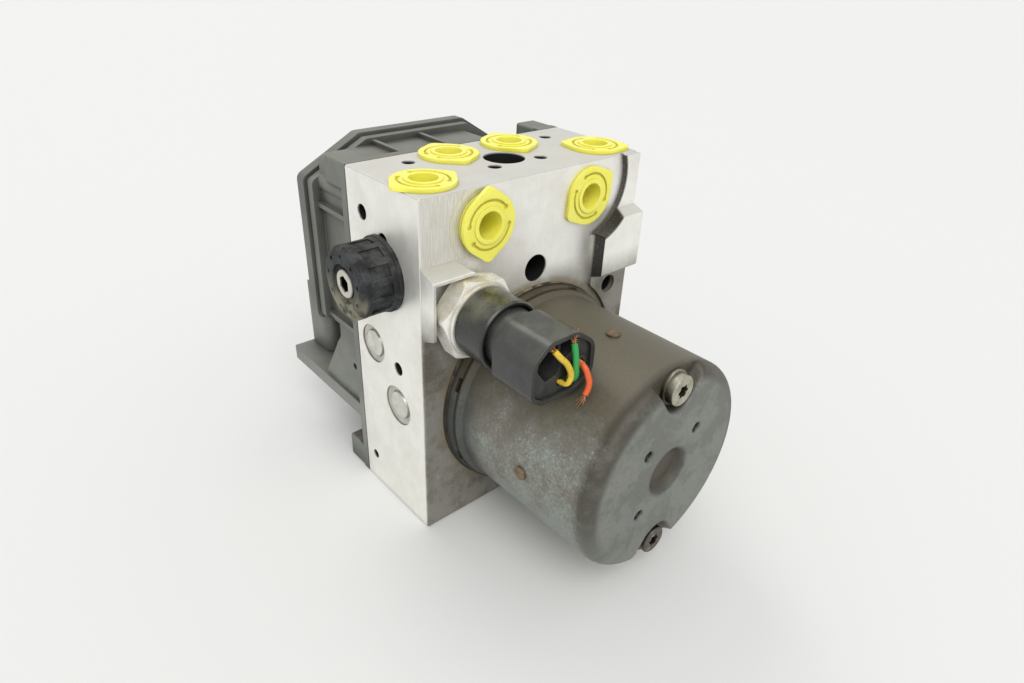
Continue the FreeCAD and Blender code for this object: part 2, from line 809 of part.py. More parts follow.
def motor_gasket():
    ring = rod_y(gasket_radius, 0, motor_z, front - gasket_thickness, front)
    cuts = [rod_y(front_bearing_radius + clear, 0, motor_z, front - gasket_thickness - 1, front + 1)]
    for z in motor_screw_heights:
        cuts.append(rod_y(screw_shank + clear, 0, z, front - gasket_thickness - 1, front + 1))
    return ring.cut(cuts + [fitting_room()])


def motor_screws():
    screws = []
    seat = motor_end - pocket_depth
    profile = [(0, -screw_bite), (screw_shank, -screw_bite), (screw_shank, seat), (screw_seat, seat),
               (screw_seat, seat + screw_seat_length), (screw_head, seat + screw_seat_length),
               (screw_head, seat + screw_head_length - screw_chamfer),
               (screw_head - screw_chamfer, seat + screw_head_length), (0, seat + screw_head_length)]
    for z in motor_screw_heights:
        screw = turned(profile, V(0, front, z), V(0, -1, 0))
        star = []
        for k in range(12):
            x, up = polar(star_inner if k % 2 else star_outer, 30 * k)
            star.append((x, z + up, star_round))
        face = front - seat - screw_head_length
        screws.append(screw.cut(slab_y(star, face - 1, face + star_depth)))
    return group(screws)


def hexagon(flats, base, step, turn=0):
    radius = flats / math.sqrt(3)
    direction = V(step).normalize()
    side = V(0, 0, 1) if abs(direction.z) < 0.5 else V(1, 0, 0)
    other = direction.cross(side)
    points = []
    for k in range(6):
        u, v = polar(radius, turn + 60 * k)
        points.append(base + side * u + other * v)
    return Part.Face(Part.makePolygon(points + [points[0]])).extrude(step)


def motor_magnets():
    outer = motor_radius - can_wall - running_fit
    inner = outer - magnet_thickness
    start = core_start - 2
    end = core_start + core_length + 2
    ring = motor_axis_turned([(inner, start), (outer, start), (outer, end), (inner, end)])
    half = magnet_span / 2
    arcs = []
    for centre in (0, 180):
        reach = motor_radius * 3
        wedge = [(0, 0, 0), (*polar(reach, centre - half), 0), (*polar(reach, centre), 0),
                 (*polar(reach, centre + half), 0)]
        sector = slab_y(wedge, front - end - 1, front - start + 1)
        sector.translate(V(0, 0, motor_z))
        arcs.append(ring.common(sector))
    return group(arcs)


def brush_plate():
    outer = motor_radius - can_wall - clear
    inner = commutator_radius + 2
    end = brush_plate_start + brush_plate_thickness
    plate = motor_axis_turned([(inner, brush_plate_start), (outer, brush_plate_start), (outer, end),
                               (inner, end)])
    foot_start = gasket_thickness + flange_thickness + plate_foot_gap
    foot = motor_axis_turned([(outer - plate_foot, foot_start), (outer, foot_start), (outer, end),
                              (outer - plate_foot, end)])
    plate = plate.fuse(foot)
    cuts = []
    for z in motor_screw_heights:
        cuts.append(rod_y(screw_shank + clear, 0, z, front, front - end - 1))
    return plate.cut(cuts)


def brush_span():
    start = brush_plate_start + brush_plate_thickness + running_fit
    return (front - start - brush_width, front - start)


def carbon_brushes():
    brushes = []
    inner = commutator_radius + running_fit
    for side in (-1, 1):
        half = brush_width / 2
        brushes.append(box((side * inner, side * (inner + brush_length)), brush_span(),
                           (motor_z - half, motor_z + half)))
    return group(brushes)


def brush_springs():
    # flat leaf that presses the brush inwards, bent from a strip
    springs = []
    start = commutator_radius + running_fit + brush_length
    for side in (-1, 1):
        leaf = box((side * start, side * (start + leaf_thickness)), brush_span(),
                   (motor_z - leaf_low, motor_z + leaf_high))
        foot = box((side * start, side * (start + leaf_foot)), brush_span(),
                   (motor_z + leaf_high - leaf_thickness, motor_z + leaf_high))
        springs.append(leaf.fuse(foot))
    return group(springs)


def bearing(radius, width, start):
    bore = shaft_radius + running_fit
    race = 1.6
    step = 0.5
    end = start + width
    return motor_axis_turned([(bore, start), (bore + race, start), (bore + race, start + step),
                              (radius - race, start + step), (radius - race, start), (radius, start),
                              (radius, end), (radius - race, end), (radius - race, end - step),
                              (bore + race, end - step), (bore + race, end), (bore, end)])


def front_bearing():
    return bearing(front_bearing_radius, front_bearing_width, -front_bearing_width / 2)


def rear_bearing():
    start = motor_end - dish_depth - can_wall - rear_bearing_width
    return bearing(rear_bearing_radius, rear_bearing_width, start)


def motor_shaft():
    end = motor_end - dish_depth - can_wall - clear
    tip = front - shaft_tip
    chamfer = 0.6
    return motor_axis_turned([(0, tip), (shaft_radius - chamfer, tip), (shaft_radius, tip + chamfer),
                              (shaft_radius, end - chamfer), (shaft_radius - chamfer, end), (0, end)])


def slot_bars(width, outer, start, end):
    bars = []
    inner = core_radius * 0.48
    for k in range(core_slots):
        bar = box((inner, outer), (front - end, front - start), (motor_z - width / 2, motor_z + width / 2))
        bar.rotate(V(0, 0, motor_z), V(0, 1, 0), 360.0 / core_slots * k)
        bars.append(bar)
    return bars


def armature_core():
    end = core_start + core_length
    bore = shaft_radius + running_fit
    core = motor_axis_turned([(bore, core_start), (core_radius, core_start), (core_radius, end),
                              (bore, end)])
    return core.cut(slot_bars(slot_width, core_radius + 1, core_start - 1, end + 1))


def armature_winding():
    # end turns on both faces of the core, joined by the copper in the slots
    outer = core_radius - 1.5
    inner = winding_inner
    core_end = core_start + core_length
    rings = []
    for near, far in ((core_start, core_start - winding_overhang), (core_end, core_end + winding_overhang)):
        shoulder = far + (near - far) * 0.35
        rings.append(motor_axis_turned([(inner, near), (outer, near), (outer, shoulder), (outer - 4, far),
                                        (inner + 2, far), (inner, shoulder)]))
    bars = slot_bars(slot_width - 2 * running_fit, outer - 0.5, core_start - 1, core_end + 1)
    return rings[0].fuse(rings[1:] + bars)


def commutator():
    end = commutator_start + commutator_length
    bore = shaft_radius + running_fit
    riser = commutator_radius + commutator_riser
    return motor_axis_turned([(bore, commutator_start), (commutator_radius, commutator_start),
                              (commutator_radius, end - commutator_riser), (riser, end - commutator_riser),
                              (riser, end), (bore, end)])


def eccentric_span():
    return (pump_y - eccentric_width / 2, pump_y + eccentric_width / 2)


def eccentric():
    start, end = eccentric_span()
    lobe = rod_y(eccentric_radius, eccentricity, motor_z, start, end)
    return lobe.cut(rod_y(shaft_radius + running_fit, 0, motor_z, start - 1, end + 1))


def eccentric_bearing():
    start, end = eccentric_span()
    ring = rod_y(ring_radius, eccentricity, motor_z, start, end)
    return ring.cut(rod_y(eccentric_radius + running_fit, eccentricity, motor_z, start - 1, end + 1))


def rim_outline(inset):
    # outline of the controller's rim, moved inwards by the inset
    cut = inset * 0.45
    corner = max(rim_corner - inset * 0.5, 1.0)
    return [(rim_left + inset, rim_low + inset, corner),
            (rim_left + inset, rim_left_chamfer - cut, corner),
            (rim_top_left + cut, rim_top - inset, corner),
            (rim_top_right - cut, rim_top - inset, corner),
            (rim_right - inset, rim_right_chamfer - cut, corner),
            (rim_right - inset, rim_low + inset, corner)]


def bay_outline(inset, low):
    # the rims' lower part, behind the posts
    x = bay_half - inset
    return rectangle((-x, x), (low, rim_low + rim_corner * 2), 1.5)


def housing_wall_outline(inset):
    x = right - wall_inset - inset
    low = housing_low + inset
    top = block_height - wall_inset - inset
    return [(-x, low, 1.0), (x, low, 1.0), (x, wall_right_chamfer - inset * 0.5, 3.0),
            (wall_top_right - inset * 0.5, top, 3.0), (-x, top, 3.0)]


def controller_housing():
    floor = housing_low + skirt_height
    plate = box((left, right), (back, back + plate_thickness), (0, block_height))
    notch = box((wall_top_right - 2, right - pad_width), (back - 1, rim_y),
                (wall_right_chamfer + 10, block_height + 1))
    wall = slab_y(housing_wall_outline(0), back, rim_y)
    rim = slab_y(rim_outline(rim_step), rim_y, seal_y)
    bay = slab_y(bay_outline(0, floor), rim_y - 1, seal_y)
    shelf = slab_z(rectangle((shelf_left, -shelf_left), (back, shelf_back), 1.0), housing_low, floor)
    body = plate.cut(notch).fuse([wall, rim, bay, shelf] + housing_pads() + housing_ribs() + cheeks(floor))
    return body.cut(housing_cuts(floor)).removeSplitter()


def cheeks(floor):
    # slanted side walls that carry the shelf
    shapes = []
    corners = [(back, housing_low + 1, 0), (scoop_low[0] + 2.5, housing_low + 1, 0), (*scoop_low, 0),
               (scoop_top[0] + 3, scoop_top[1] - 4, 2.0), (*scoop_top, 2.0), (back, scoop_top[1], 0)]
    x = right - wall_inset
    for side in (-1, 1):
        shapes.append(slab_x(corners, side * (x - housing_wall), side * x))
    return shapes


def housing_pads():
    pads = []
    for side in (-1, 1):
        inner = side * (right - pad_width)
        across = (min(inner, side * right), max(inner, side * right))
        for low, high in ((block_height - pad_top_height, block_height), (0, foot_height)):
            pads.append(slab_y(rectangle(across, (low, high), 1.0), back, back + pad_length))
        if side < 0:
            # the band under the pad that carries it
            x = right - wall_inset - pad_width * 0.3
            z = block_height - pad_top_height - pad_width * 0.2
            pads.append(rod_y(pad_width * 0.42, side * x, z, back, rim_y))
    return pads


def housing_ribs():
    half = rib_width / 2
    ribs = [box((left, right), (back, rim_y), (z - half, z + half)) for z in rib_heights]
    top = block_height - wall_inset
    for x in top_ribs:
        ribs.append(box((x - half, x + half), (back, rim_y), (top - 1, block_height)))
    return ribs


def housing_cuts(floor):
    hollow = slab_y(housing_wall_outline(housing_wall), back - 1, seal_y + 1)
    below = box((-bay_half + 3, bay_half - 3), (rim_y - 1, seal_y + 1), (floor + 1, rim_low + rim_corner))
    under = box((shelf_left + shelf_thickness, -shelf_left - shelf_thickness),
                (back + plate_thickness + shelf_thickness, shelf_back - shelf_thickness),
                (housing_low - 1, housing_low + skirt_height - shelf_thickness))
    lower = box((left, right), (back - 1, seal_y + 1), (0, floor + 1))
    cuts = [hollow.cut(lower), below, under]
    for side in (-1, 1):
        # opening above the slanted edge of the cheek
        corners = [(*scoop_top, 0), (rim_y + 1, scoop_top[1] - 6.2, 0), (rim_y + 1, rim_low, 0),
                   (scoop_top[0], rim_low, 0)]
        cuts.append(slab_x(corners, side * (right - scoop_depth), side * (right + 3)))
        x = side * (right - pad_width / 2)
        for z in pad_screw_heights:
            cuts.append(rod_y(pad_screw_shank + clear / 2, x, z, back - 1, back + pad_length + 1))
            cuts.append(rod_y(pad_screw_head + clear / 2, x, z, pad_screw_seat, back + pad_length + 1))
        cuts.append(rod_x(1.3, back + 8.0, 46.0, side * (right - 8), side * (right + 1)))
    return cuts


def cover_seal():
    outer = slab_y(rim_outline(rim_step + 0.6), seal_y, cover_y)
    inner = slab_y(rim_outline(rim_step + 2.6), seal_y - 1, cover_y + 1)
    return outer.cut(inner)


def cover_outline(inset):
    x = cover_half - inset
    low = rim_low - 2 + inset
    top = cover_top - inset
    return [(-x, low, 3.0), (x, low, 3.0), (x, cover_shoulder, 4.0), (x - 12, top, 4.0),
            (12 - x, top, 4.0), (-x, cover_shoulder, 4.0)]


def controller_cover():
    inner_y = cover_y + cover_rim_thickness
    rim = slab_y(rim_outline(0), cover_y, inner_y)
    hump = slab_y(cover_outline(0), inner_y - 1, cover_back)
    bay = slab_y(bay_outline(0, shroud_low), cover_y, shroud_start + 1)
    front_edge = [(-shroud_half, shroud_start, shroud_corner), (shroud_half, shroud_start, shroud_corner),
                  (shroud_half, shroud_end, 1.0), (-shroud_half, shroud_end, 1.0)]
    shroud = slab_z(front_edge, shroud_low, rim_low)
    body = rim.fuse([hump, bay, shroud] + cover_ribs())
    hollow = slab_y(cover_outline(cover_wall), cover_y - 1, cover_back - cover_wall)
    lower = slab_y(bay_outline(cover_wall, shroud_low + cover_wall), cover_y - 1, shroud_start)
    x = shroud_half - shroud_wall
    socket = slab_y(rectangle((-x, x), (shroud_low + shroud_wall, rim_low - shroud_wall), 2.0),
                    shroud_floor, shroud_end + 1)
    return body.cut([hollow, lower, socket]).removeSplitter()


def cover_ribs():
    # shallow grid on the cover's back
    half = rib_width / 2
    depth = (cover_back - 1, cover_back + cover_rib_reach)
    ribs = [box((x - half, x + half), depth, (rim_low + 3, cover_top - 4)) for x in cover_rib_columns]
    width = cover_half - 10
    for z in cover_rib_rows:
        ribs.append(box((-width, width), depth, (z - half, z + half)))
    return ribs


def circuit_board():
    x = cover_half - cover_wall - clear
    y = cover_y + 0.2
    return slab_y(rectangle((-x, x), (rim_low + 4, cover_shoulder - 2), 2.0), y, y + board_thickness)


def connector_pins():
    pins = []
    width = shroud_half - shroud_wall - pin_margin
    half = pin_size / 2
    middle = (shroud_low + rim_low) / 2
    for k in range(pin_columns):
        x = -width + 2 * width * k / (pin_columns - 1)
        for z in (middle - pin_row, middle + pin_row):
            depth = (shroud_floor, shroud_end - pin_recess)
            pins.append(box((x - half, x + half), depth, (z - half, z + half)))
    return group(pins)


def controller_screws():
    screws = []
    head_end = pad_screw_seat + pad_screw_head_length
    for side in (-1, 1):
        x = side * (right - pad_width / 2)
        for z in pad_screw_heights:
            profile = [(0, back - pad_screw_bite), (pad_screw_shank, back - pad_screw_bite),
                       (pad_screw_shank, pad_screw_seat), (pad_screw_head, pad_screw_seat),
                       (pad_screw_head, head_end - 0.6), (pad_screw_head - 0.6, head_end), (0, head_end)]
            screw = turned(profile, V(x, 0, z), V(0, 1, 0))
            screws.append(screw.cut(hexagon(pad_screw_socket, V(x, head_end - 1.6, z), V(0, 3, 0))))
    return group(screws)


def bush_rubber():
    end = bush_length
    profile = [(stud_radius + running_fit, 0), (bush_flange, 0), (bush_flange, bush_flange_length),
               (bush_radius, bush_flange_length + 0.3), (bush_radius, end - 1.4),
               (bush_radius - 1.2, end - 0.2),
               (bush_radius - 2.0, end), (stud_radius + 1.9, end), (stud_radius + 1.7, end - 1.2),
               (stud_radius + running_fit, end - 1.2)]
    base = V(left, bush_y, bush_z)
    body = turned(profile, base, V(-1, 0, 0))
    cuts = []
    for k in range(bush_pads):
        pad = box((left - 3.4, left - end + 3.8), (bush_y - 2.1, bush_y + 2.1),
                  (bush_z + bush_radius - bush_groove, bush_z + bush_radius + 2))
        pad.rotate(base, V(1, 0, 0), 360.0 / bush_pads * k)
        cuts.append(pad)
    for k in range(bush_dimples):
        y, z = polar(bush_dimple_circle, 360.0 / bush_dimples * k + 8)
        cuts.append(rod_x(bush_dimple_radius, bush_y + y, bush_z + z, left - end + 3, left - end - 1))
    return body.cut(cuts)


def bush_stud():
    end = bush_length - 0.3
    profile = [(0, -stud_bite), (stud_thread, -stud_bite), (stud_thread, 0), (stud_radius, 0),
               (stud_radius, end - 0.4), (stud_radius - 0.4, end), (0, end)]
    body = turned(profile, V(left, bush_y, bush_z), V(-1, 0, 0))
    face = left - end
    bore = rod_x(stud_bore, bush_y, bush_z, face + stud_socket_depth + stud_bore_depth, face - 1)
    socket = hexagon(stud_socket, V(face - 1, bush_y, bush_z), V(stud_socket_depth + 1, 0, 0))
    return body.cut([bore, socket])


def sensor_fitting():
    end = fitting_length
    start = fitting_relief
    base = V(sensor_x, front - start, sensor_z)
    hexa = hexagon(fitting_flats, base, V(0, start - end, 0), fitting_turn)
    flat = fitting_flats / 2
    slope = (fitting_corner - flat) * 0.6
    profile = [(0, start), (flat, start), (fitting_corner, start + slope), (fitting_corner, end - slope),
               (flat, end), (0, end)]
    blank = turned(profile, V(sensor_x, front, sensor_z), V(0, -1, 0))
    collar = rod_y(fitting_collar, sensor_x, sensor_z, front - end, front - end - fitting_collar_length)
    neck = rod_y(fitting_neck, sensor_x, sensor_z, front, front - start)
    thread = rod_y(fitting_thread, sensor_x, sensor_z, front + fitting_bite, front)
    return hexa.common(blank).fuse([neck, collar, thread])


def sensor_body():
    start = fitting_length + fitting_collar_length
    end = start + sensor_length
    floor = end - sensor_socket_depth
    profile = [(0, start), (sensor_radius, start), (sensor_radius, end - 0.6), (sensor_radius - 0.5, end),
               (sensor_socket, end), (sensor_socket, floor), (0, floor)]
    return turned(profile, V(sensor_x, front, sensor_z), V(0, -1, 0))


def sensor_seal():
    # ring of rubber on the plug's neck
    start = sensor_mouth + 2.2
    ring = rod_y(sensor_socket - running_fit, sensor_x, sensor_z, start, start + 2.0)
    return ring.cut(rod_y(plug_neck + running_fit, sensor_x, sensor_z, start - 1, start + 3))


def plug_outline(inset):
    # the plug's section with its sides moved inwards
    corners = []
    for x, z, radius in plug_section:
        scale = 1 - inset / math.hypot(x, z)
        corners.append((sensor_x + x * scale, sensor_z + z * scale, max(radius - inset, 0.6)))
    return corners


def sensor_plug():
    neck = rod_y(plug_neck, sensor_x, sensor_z, sensor_mouth + sensor_socket_depth - clear, plug_shoulder)
    body = slab_y(plug_outline(0), plug_shoulder, plug_end)
    cavity = slab_y(plug_outline(plug_skin), plug_end + plug_cavity, plug_end - 1)
    return neck.fuse(body).cut(cavity)


def plug_insert():
    # terminal holder in the plug's open end: a deep pocket with cross ribs, wire holes, and a
    # round seal that stands up about the lowest wire
    start = plug_end + plug_cavity
    end = plug_end + insert_recess
    body = slab_y(plug_outline(plug_skin + running_fit), start, end)
    pocket = slab_y([(sensor_x + x, sensor_z + z, 0.8) for x, z in insert_pocket], start - 2, end - 1)
    half = insert_rib / 2
    ribs = [box((sensor_x + x - half, sensor_x + x + half), (start - 2, end + insert_rib_recess),
                (sensor_z - fitting_flats / 2, sensor_z + fitting_flats / 2)) for x in insert_ribs]
    body = body.cut(pocket.cut(ribs))
    places = wire_places()
    x, z = places[-1]
    collar = rod_y(insert_collar, x, z, end, end - insert_recess)
    body = body.fuse(collar)
    cuts = [rod_y(wire_radius + 0.5, x, z, end - insert_recess - 1, end + wire_bite + 1) for x, z in places]
    return body.cut(cuts)


def wire_places():
    return [(sensor_x + x, sensor_z + z) for x, z in wire_holes]


def bent_wire(points):
    # tube along straight runs joined by tangent arcs
    edges = []
    last = points[0]
    for i in range(1, len(points) - 1):
        before = (points[i - 1] - points[i])
        after = (points[i + 1] - points[i])
        turn = math.pi - before.getAngle(after)
        reach = 0.45 * min(before.Length, after.Length)
        radius = reach / math.tan(turn / 2)
        d_in = V(before).normalize()
        d_out = V(after).normalize()
        start = points[i] + d_in * reach
        end = points[i] + d_out * reach
        inward = (d_in + d_out).normalize()
        middle = points[i] + inward * (radius / math.cos(turn / 2) - radius)
        edges.append(Part.LineSegment(last, start).toShape())
        edges.append(Part.Arc(start, middle, end).toShape())
        last = end
    edges.append(Part.LineSegment(last, points[-1]).toShape())
    path = Part.Wire(edges)
    direction = points[1] - points[0]
    circle = Part.makeCircle(wire_radius, points[0], direction)
    return path.makePipeShell([Part.Wire(circle)], True, True)


def wire_route(place, offsets):
    # starts inside the insert, then runs through points given as (x, distance out, z)
    x, z = place
    points = [V(x, plug_end + insert_recess + wire_bite, z)]
    for dx, out, dz in offsets:
        points.append(V(sensor_x + dx, plug_end - out, sensor_z + dz))
    return points


def wires():
    yellow, green, orange = wire_places()
    return {
        "wire_yellow": bent_wire(wire_route(yellow, [(1.0, 1.2, -4.9), (2.2, 1.5, -1.6), (-0.6, 1.2, 3.8),
                                                     (-3.2, -0.6, 7.0)])),
        "wire_green": bent_wire(wire_route(green, [(4.3, 1.3, -5.0), (3.3, 1.9, 2.0), (3.6, 0.4, 7.4)])),
        "wire_orange": bent_wire(wire_route(orange, [(7.4, 2.6, -0.9), (8.0, 4.1, -6.8), (6.4, 4.1, -9.6)])),
    }


def all_nodes():
    nodes = {
        "valve_block": valve_block(),
        "pump_plugs": pump_plugs(),
        "damper_plugs": damper_plugs(),
        "pump_cylinders": pump_cylinders(),
        "accumulator_caps": accumulator_caps(),
        "valve_cartridges": valve_cartridges(),
        "solenoid_coils": solenoid_coils(),
        "controller_housing": controller_housing(),
        "cover_seal": cover_seal(),
        "controller_cover": controller_cover(),
        "circuit_board": circuit_board(),
        "connector_pins": connector_pins(),
        "controller_screws": controller_screws(),
        "motor_gasket": motor_gasket(),
        "motor_flange": motor_flange(),
        "motor_can": riveted_can(),
        "can_rivets": can_rivets(),
        "motor_screws": motor_screws(),
        "motor_magnets": motor_magnets(),
        "brush_plate": brush_plate(),
        "carbon_brushes": carbon_brushes(),
        "brush_springs": brush_springs(),
        "front_bearing": front_bearing(),
        "rear_bearing": rear_bearing(),
        "motor_shaft": motor_shaft(),
        "armature_core": armature_core(),
        "armature_winding": armature_winding(),
        "commutator": commutator(),
        "eccentric": eccentric(),
        "eccentric_bearing": eccentric_bearing(),
        "bush_rubber": bush_rubber(),
        "bush_stud": bush_stud(),
        "sensor_fitting": sensor_fitting(),
        "sensor_body": sensor_body(),
        "sensor_seal": sensor_seal(),
        "sensor_plug": sensor_plug(),
        "plug_insert": plug_insert(),
    }
    nodes.update(port_plugs())
    nodes.update(wires())
    for side, name in ((-1, "left"), (1, "right")):
        nodes["pump_piston_" + name] = pump_piston(side)
        nodes["pump_spring_" + name] = pump_spring(side)
        nodes["accumulator_piston_" + name] = accumulator_piston(side)
        nodes["accumulator_spring_" + name] = accumulator_spring(side)
    return nodes


os.makedirs("parts", exist_ok=True)
for name, shape in all_nodes().items():
    shape.exportStep("parts/" + name + ".step")
    solids = shape.Solids
    print(name, len(solids), round(sum(s.Volume for s in solids), 1), shape.isValid())
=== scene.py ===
import math
import bpy
import numpy as np
from mathutils import Matrix, Vector


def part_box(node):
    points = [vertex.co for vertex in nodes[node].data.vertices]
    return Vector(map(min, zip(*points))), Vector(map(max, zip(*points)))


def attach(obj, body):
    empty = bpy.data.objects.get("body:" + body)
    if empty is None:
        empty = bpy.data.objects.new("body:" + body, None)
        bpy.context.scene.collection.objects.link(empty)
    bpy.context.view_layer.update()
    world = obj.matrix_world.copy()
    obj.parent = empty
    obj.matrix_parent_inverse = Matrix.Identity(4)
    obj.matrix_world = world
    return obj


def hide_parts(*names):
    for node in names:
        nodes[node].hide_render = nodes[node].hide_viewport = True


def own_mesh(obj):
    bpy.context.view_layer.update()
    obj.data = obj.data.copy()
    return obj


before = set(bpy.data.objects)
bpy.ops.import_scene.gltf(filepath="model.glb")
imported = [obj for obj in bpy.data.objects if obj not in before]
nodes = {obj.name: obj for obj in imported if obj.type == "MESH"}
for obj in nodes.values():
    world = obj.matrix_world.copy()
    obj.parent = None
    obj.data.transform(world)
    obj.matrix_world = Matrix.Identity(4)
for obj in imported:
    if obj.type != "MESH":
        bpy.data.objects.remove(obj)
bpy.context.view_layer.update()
print("frame loaded,", len(nodes), "nodes")

mm = 0.001
tipShare = 0.02  # end ring of a closed tube, drawn in nearly to a point
motorAxis = (0, 0, 0.047)  # a point of it; it runs along Y


def linear(hexColour):
    # sRGB hex to linear red, green, blue and alpha
    parts = np.array([int(hexColour[i:i + 2], 16) for i in (1, 3, 5)]) / 255
    parts = np.where(parts <= 0.04045, parts / 12.92, ((parts + 0.055) / 1.055) ** 2.4)
    return (*parts.tolist(), 1.0)


def addNode(tree, kind, values=None, links=None):
    # one node with its settings and the sockets that feed it
    node = tree.nodes.new(kind)
    for key, value in (values or {}).items():
        if isinstance(key, int) or key in node.inputs:
            node.inputs[key].default_value = value
        else:
            setattr(node, key, value)
    for key, socket in (links or {}).items():
        tree.links.new(socket, node.inputs[key])
    return node


# camera where the photograph was taken from

cameraPlace = {
    "place": (-0.15339, -0.17823, 0.19284),
    "azimuth": -0.741,
    "elevation": 0.531,
    "roll": 0.046,
    "focal": 24.13,
    "sensor": 36,
    "nearest": 0.01,
}


def addCamera(settings):
    azimuth, elevation, roll = settings["azimuth"], settings["elevation"], settings["roll"]
    back = Vector((math.sin(azimuth) * math.cos(elevation), -math.cos(azimuth) * math.cos(elevation),
                   math.sin(elevation)))
    right = (-back).cross(Vector((0, 0, 1))).normalized()
    up = right.cross(-back)
    turnedRight = right * math.cos(roll) + up * math.sin(roll)
    turnedUp = up * math.cos(roll) - right * math.sin(roll)
    data = bpy.data.cameras.new("camera")
    data.lens = settings["focal"]
    data.sensor_width = settings["sensor"]
    data.clip_start = settings["nearest"]
    camera = bpy.data.objects.new("camera", data)
    x, y, z = settings["place"]
    camera.matrix_world = Matrix(((turnedRight.x, turnedUp.x, back.x, x),
                                  (turnedRight.y, turnedUp.y, back.y, y),
                                  (turnedRight.z, turnedUp.z, back.z, z), (0, 0, 0, 1)))
    bpy.context.scene.collection.objects.link(camera)
    bpy.context.scene.camera = camera


addCamera(cameraPlace)
print("camera placed")


# surfaces from numpy grids

def surfaceArrays(grid, startPole=False, endPole=False):
    # grid[i, j] is row i, column j, and the columns close on themselves. A pole draws its whole
    # row into one point, so faces there are triangles; elsewhere face (i, j) joins rows i and i+1.
    rows, columns = grid.shape[:2]
    index = np.arange(rows * columns).reshape(rows, columns)
    points = grid.reshape(-1, 3)
    if startPole:
        index[0, :] = 0
    if endPole:
        index[-1, :] = (rows - 1) * columns
    a, b = index[:-1], index[1:]
    quads = np.stack([a, np.roll(a, -1, 1), np.roll(b, -1, 1), b], -1).reshape(-1, 4)
    first = quads[:, 0] == quads[:, 1]
    last = quads[:, 2] == quads[:, 3]
    triangles = np.concatenate([quads[first][:, [0, 2, 3]], quads[last][:, [0, 1, 2]]])
    quads = quads[~(first | last)]
    corners = points[np.concatenate([quads[:, [0, 1, 2]], quads[:, [0, 2, 3]], triangles])]
    volume = np.einsum("ij,ij->i", corners[:, 0], np.cross(corners[:, 1], corners[:, 2])).sum()
    if volume < 0:
        quads, triangles = quads[:, ::-1], triangles[:, ::-1]
    used, flat = np.unique(np.concatenate([quads.ravel(), triangles.ravel()]), return_inverse=True)
    return points[used], flat[:quads.size].reshape(-1, 4), flat[quads.size:].reshape(-1, 3)


def buildMesh(name, surfaces):
    # one mesh from several closed surfaces
    counts = np.cumsum([0] + [len(points) for points, quads, triangles in surfaces])
    faces = []
    for (points, quads, triangles), offset in zip(surfaces, counts):
        faces += (quads + offset).tolist() + (triangles + offset).tolist()
    mesh = bpy.data.meshes.new(name)
    mesh.from_pydata(np.concatenate([surface[0] for surface in surfaces]).tolist(), [], faces)
    mesh.polygons.foreach_set("use_smooth", np.ones(len(mesh.polygons), bool))
    mesh.update()
    return mesh


def addPiece(name, mesh, material, body, slotName, *replaced):
    piece = bpy.data.objects.new(name, mesh)
    bpy.context.scene.collection.objects.link(piece)
    mesh.materials.append(material)
    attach(piece, body)
    if replaced:
        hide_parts(*replaced)
    return piece


def smoothStep(low, high, value):
    # 3t^2 - 2t^3 between the two ends
    t = np.clip((value - low) / (high - low), 0, 1)
    return t * t * (3 - 2 * t)


def pathSides(path):
    # two unit directions square to the path: tangent x a slanting vector that no route follows,
    # and the tangent x that one
    tangent = np.gradient(path, axis=0)
    tangent /= np.linalg.norm(tangent, axis=1, keepdims=True)
    side = np.cross(tangent, (0.31, 0.87, 0.23))
    side /= np.linalg.norm(side, axis=1, keepdims=True)
    return side, np.cross(tangent, side)


def tubeGrid(path, radius, sides):
    # each path point p gives a ring p + r (n cos a + b sin a), with n and b square to the tangent
    side, other = pathSides(path)
    angle = np.linspace(0, 2 * np.pi, sides, endpoint=False)
    ring = side[:, None] * np.cos(angle)[None, :, None] + other[:, None] * np.sin(angle)[None, :, None]
    return path[:, None] + ring * np.broadcast_to(radius, (len(path),))[:, None, None]


def smoothPath(points, steps):
    # Catmull-Rom curve: each span is a cubic through its two points, aimed by their neighbours
    points = np.array(points, float)
    padded = np.concatenate([[2 * points[0] - points[1]], points, [2 * points[-1] - points[-2]]])
    t = np.linspace(0, 1, steps, endpoint=False)[None, :, None]
    p0, p1, p2, p3 = (padded[k:len(padded) - 3 + k, None] for k in range(4))
    spans = 0.5 * (2 * p1 + (p2 - p0) * t + (2 * p0 - 5 * p1 + 4 * p2 - p3) * t ** 2
                   + (3 * p1 - p0 - 3 * p2 + p3) * t ** 3)
    return np.concatenate([spans.reshape(-1, 3), points[-1:]])


# materials

def startMaterial(name, shaderValues):
    material = bpy.data.materials.new(name)
    material.use_nodes = True
    tree = material.node_tree
    tree.nodes.clear()
    shader = addNode(tree, "ShaderNodeBsdfPrincipled", shaderValues)
    addNode(tree, "ShaderNodeOutputMaterial", links={"Surface": shader.outputs[0]})
    place = addNode(tree, "ShaderNodeTexCoord").outputs["Object"]
    return material, tree, shader, place


def coarseAndFine(tree, place, settings, noises):
    # a noise for each (setting that holds its size in mm, detail, roughness)
    return [addNode(tree, "ShaderNodeTexNoise", {"Scale": 1 / (settings[size] * mm), "Detail": detail,
                                                 "Roughness": rough}, {"Vector": place}).outputs["Fac"]
            for size, detail, rough in noises]


def fromLine(tree, place, point):
    # distance from the line along Y through the point
    flat = addNode(tree, "ShaderNodeVectorMath", {"operation": "MULTIPLY", 1: (1, 0, 1)}, {0: place})
    return addNode(tree, "ShaderNodeVectorMath", {"operation": "DISTANCE", 1: point},
                   {0: flat.outputs[0]}).outputs["Value"]


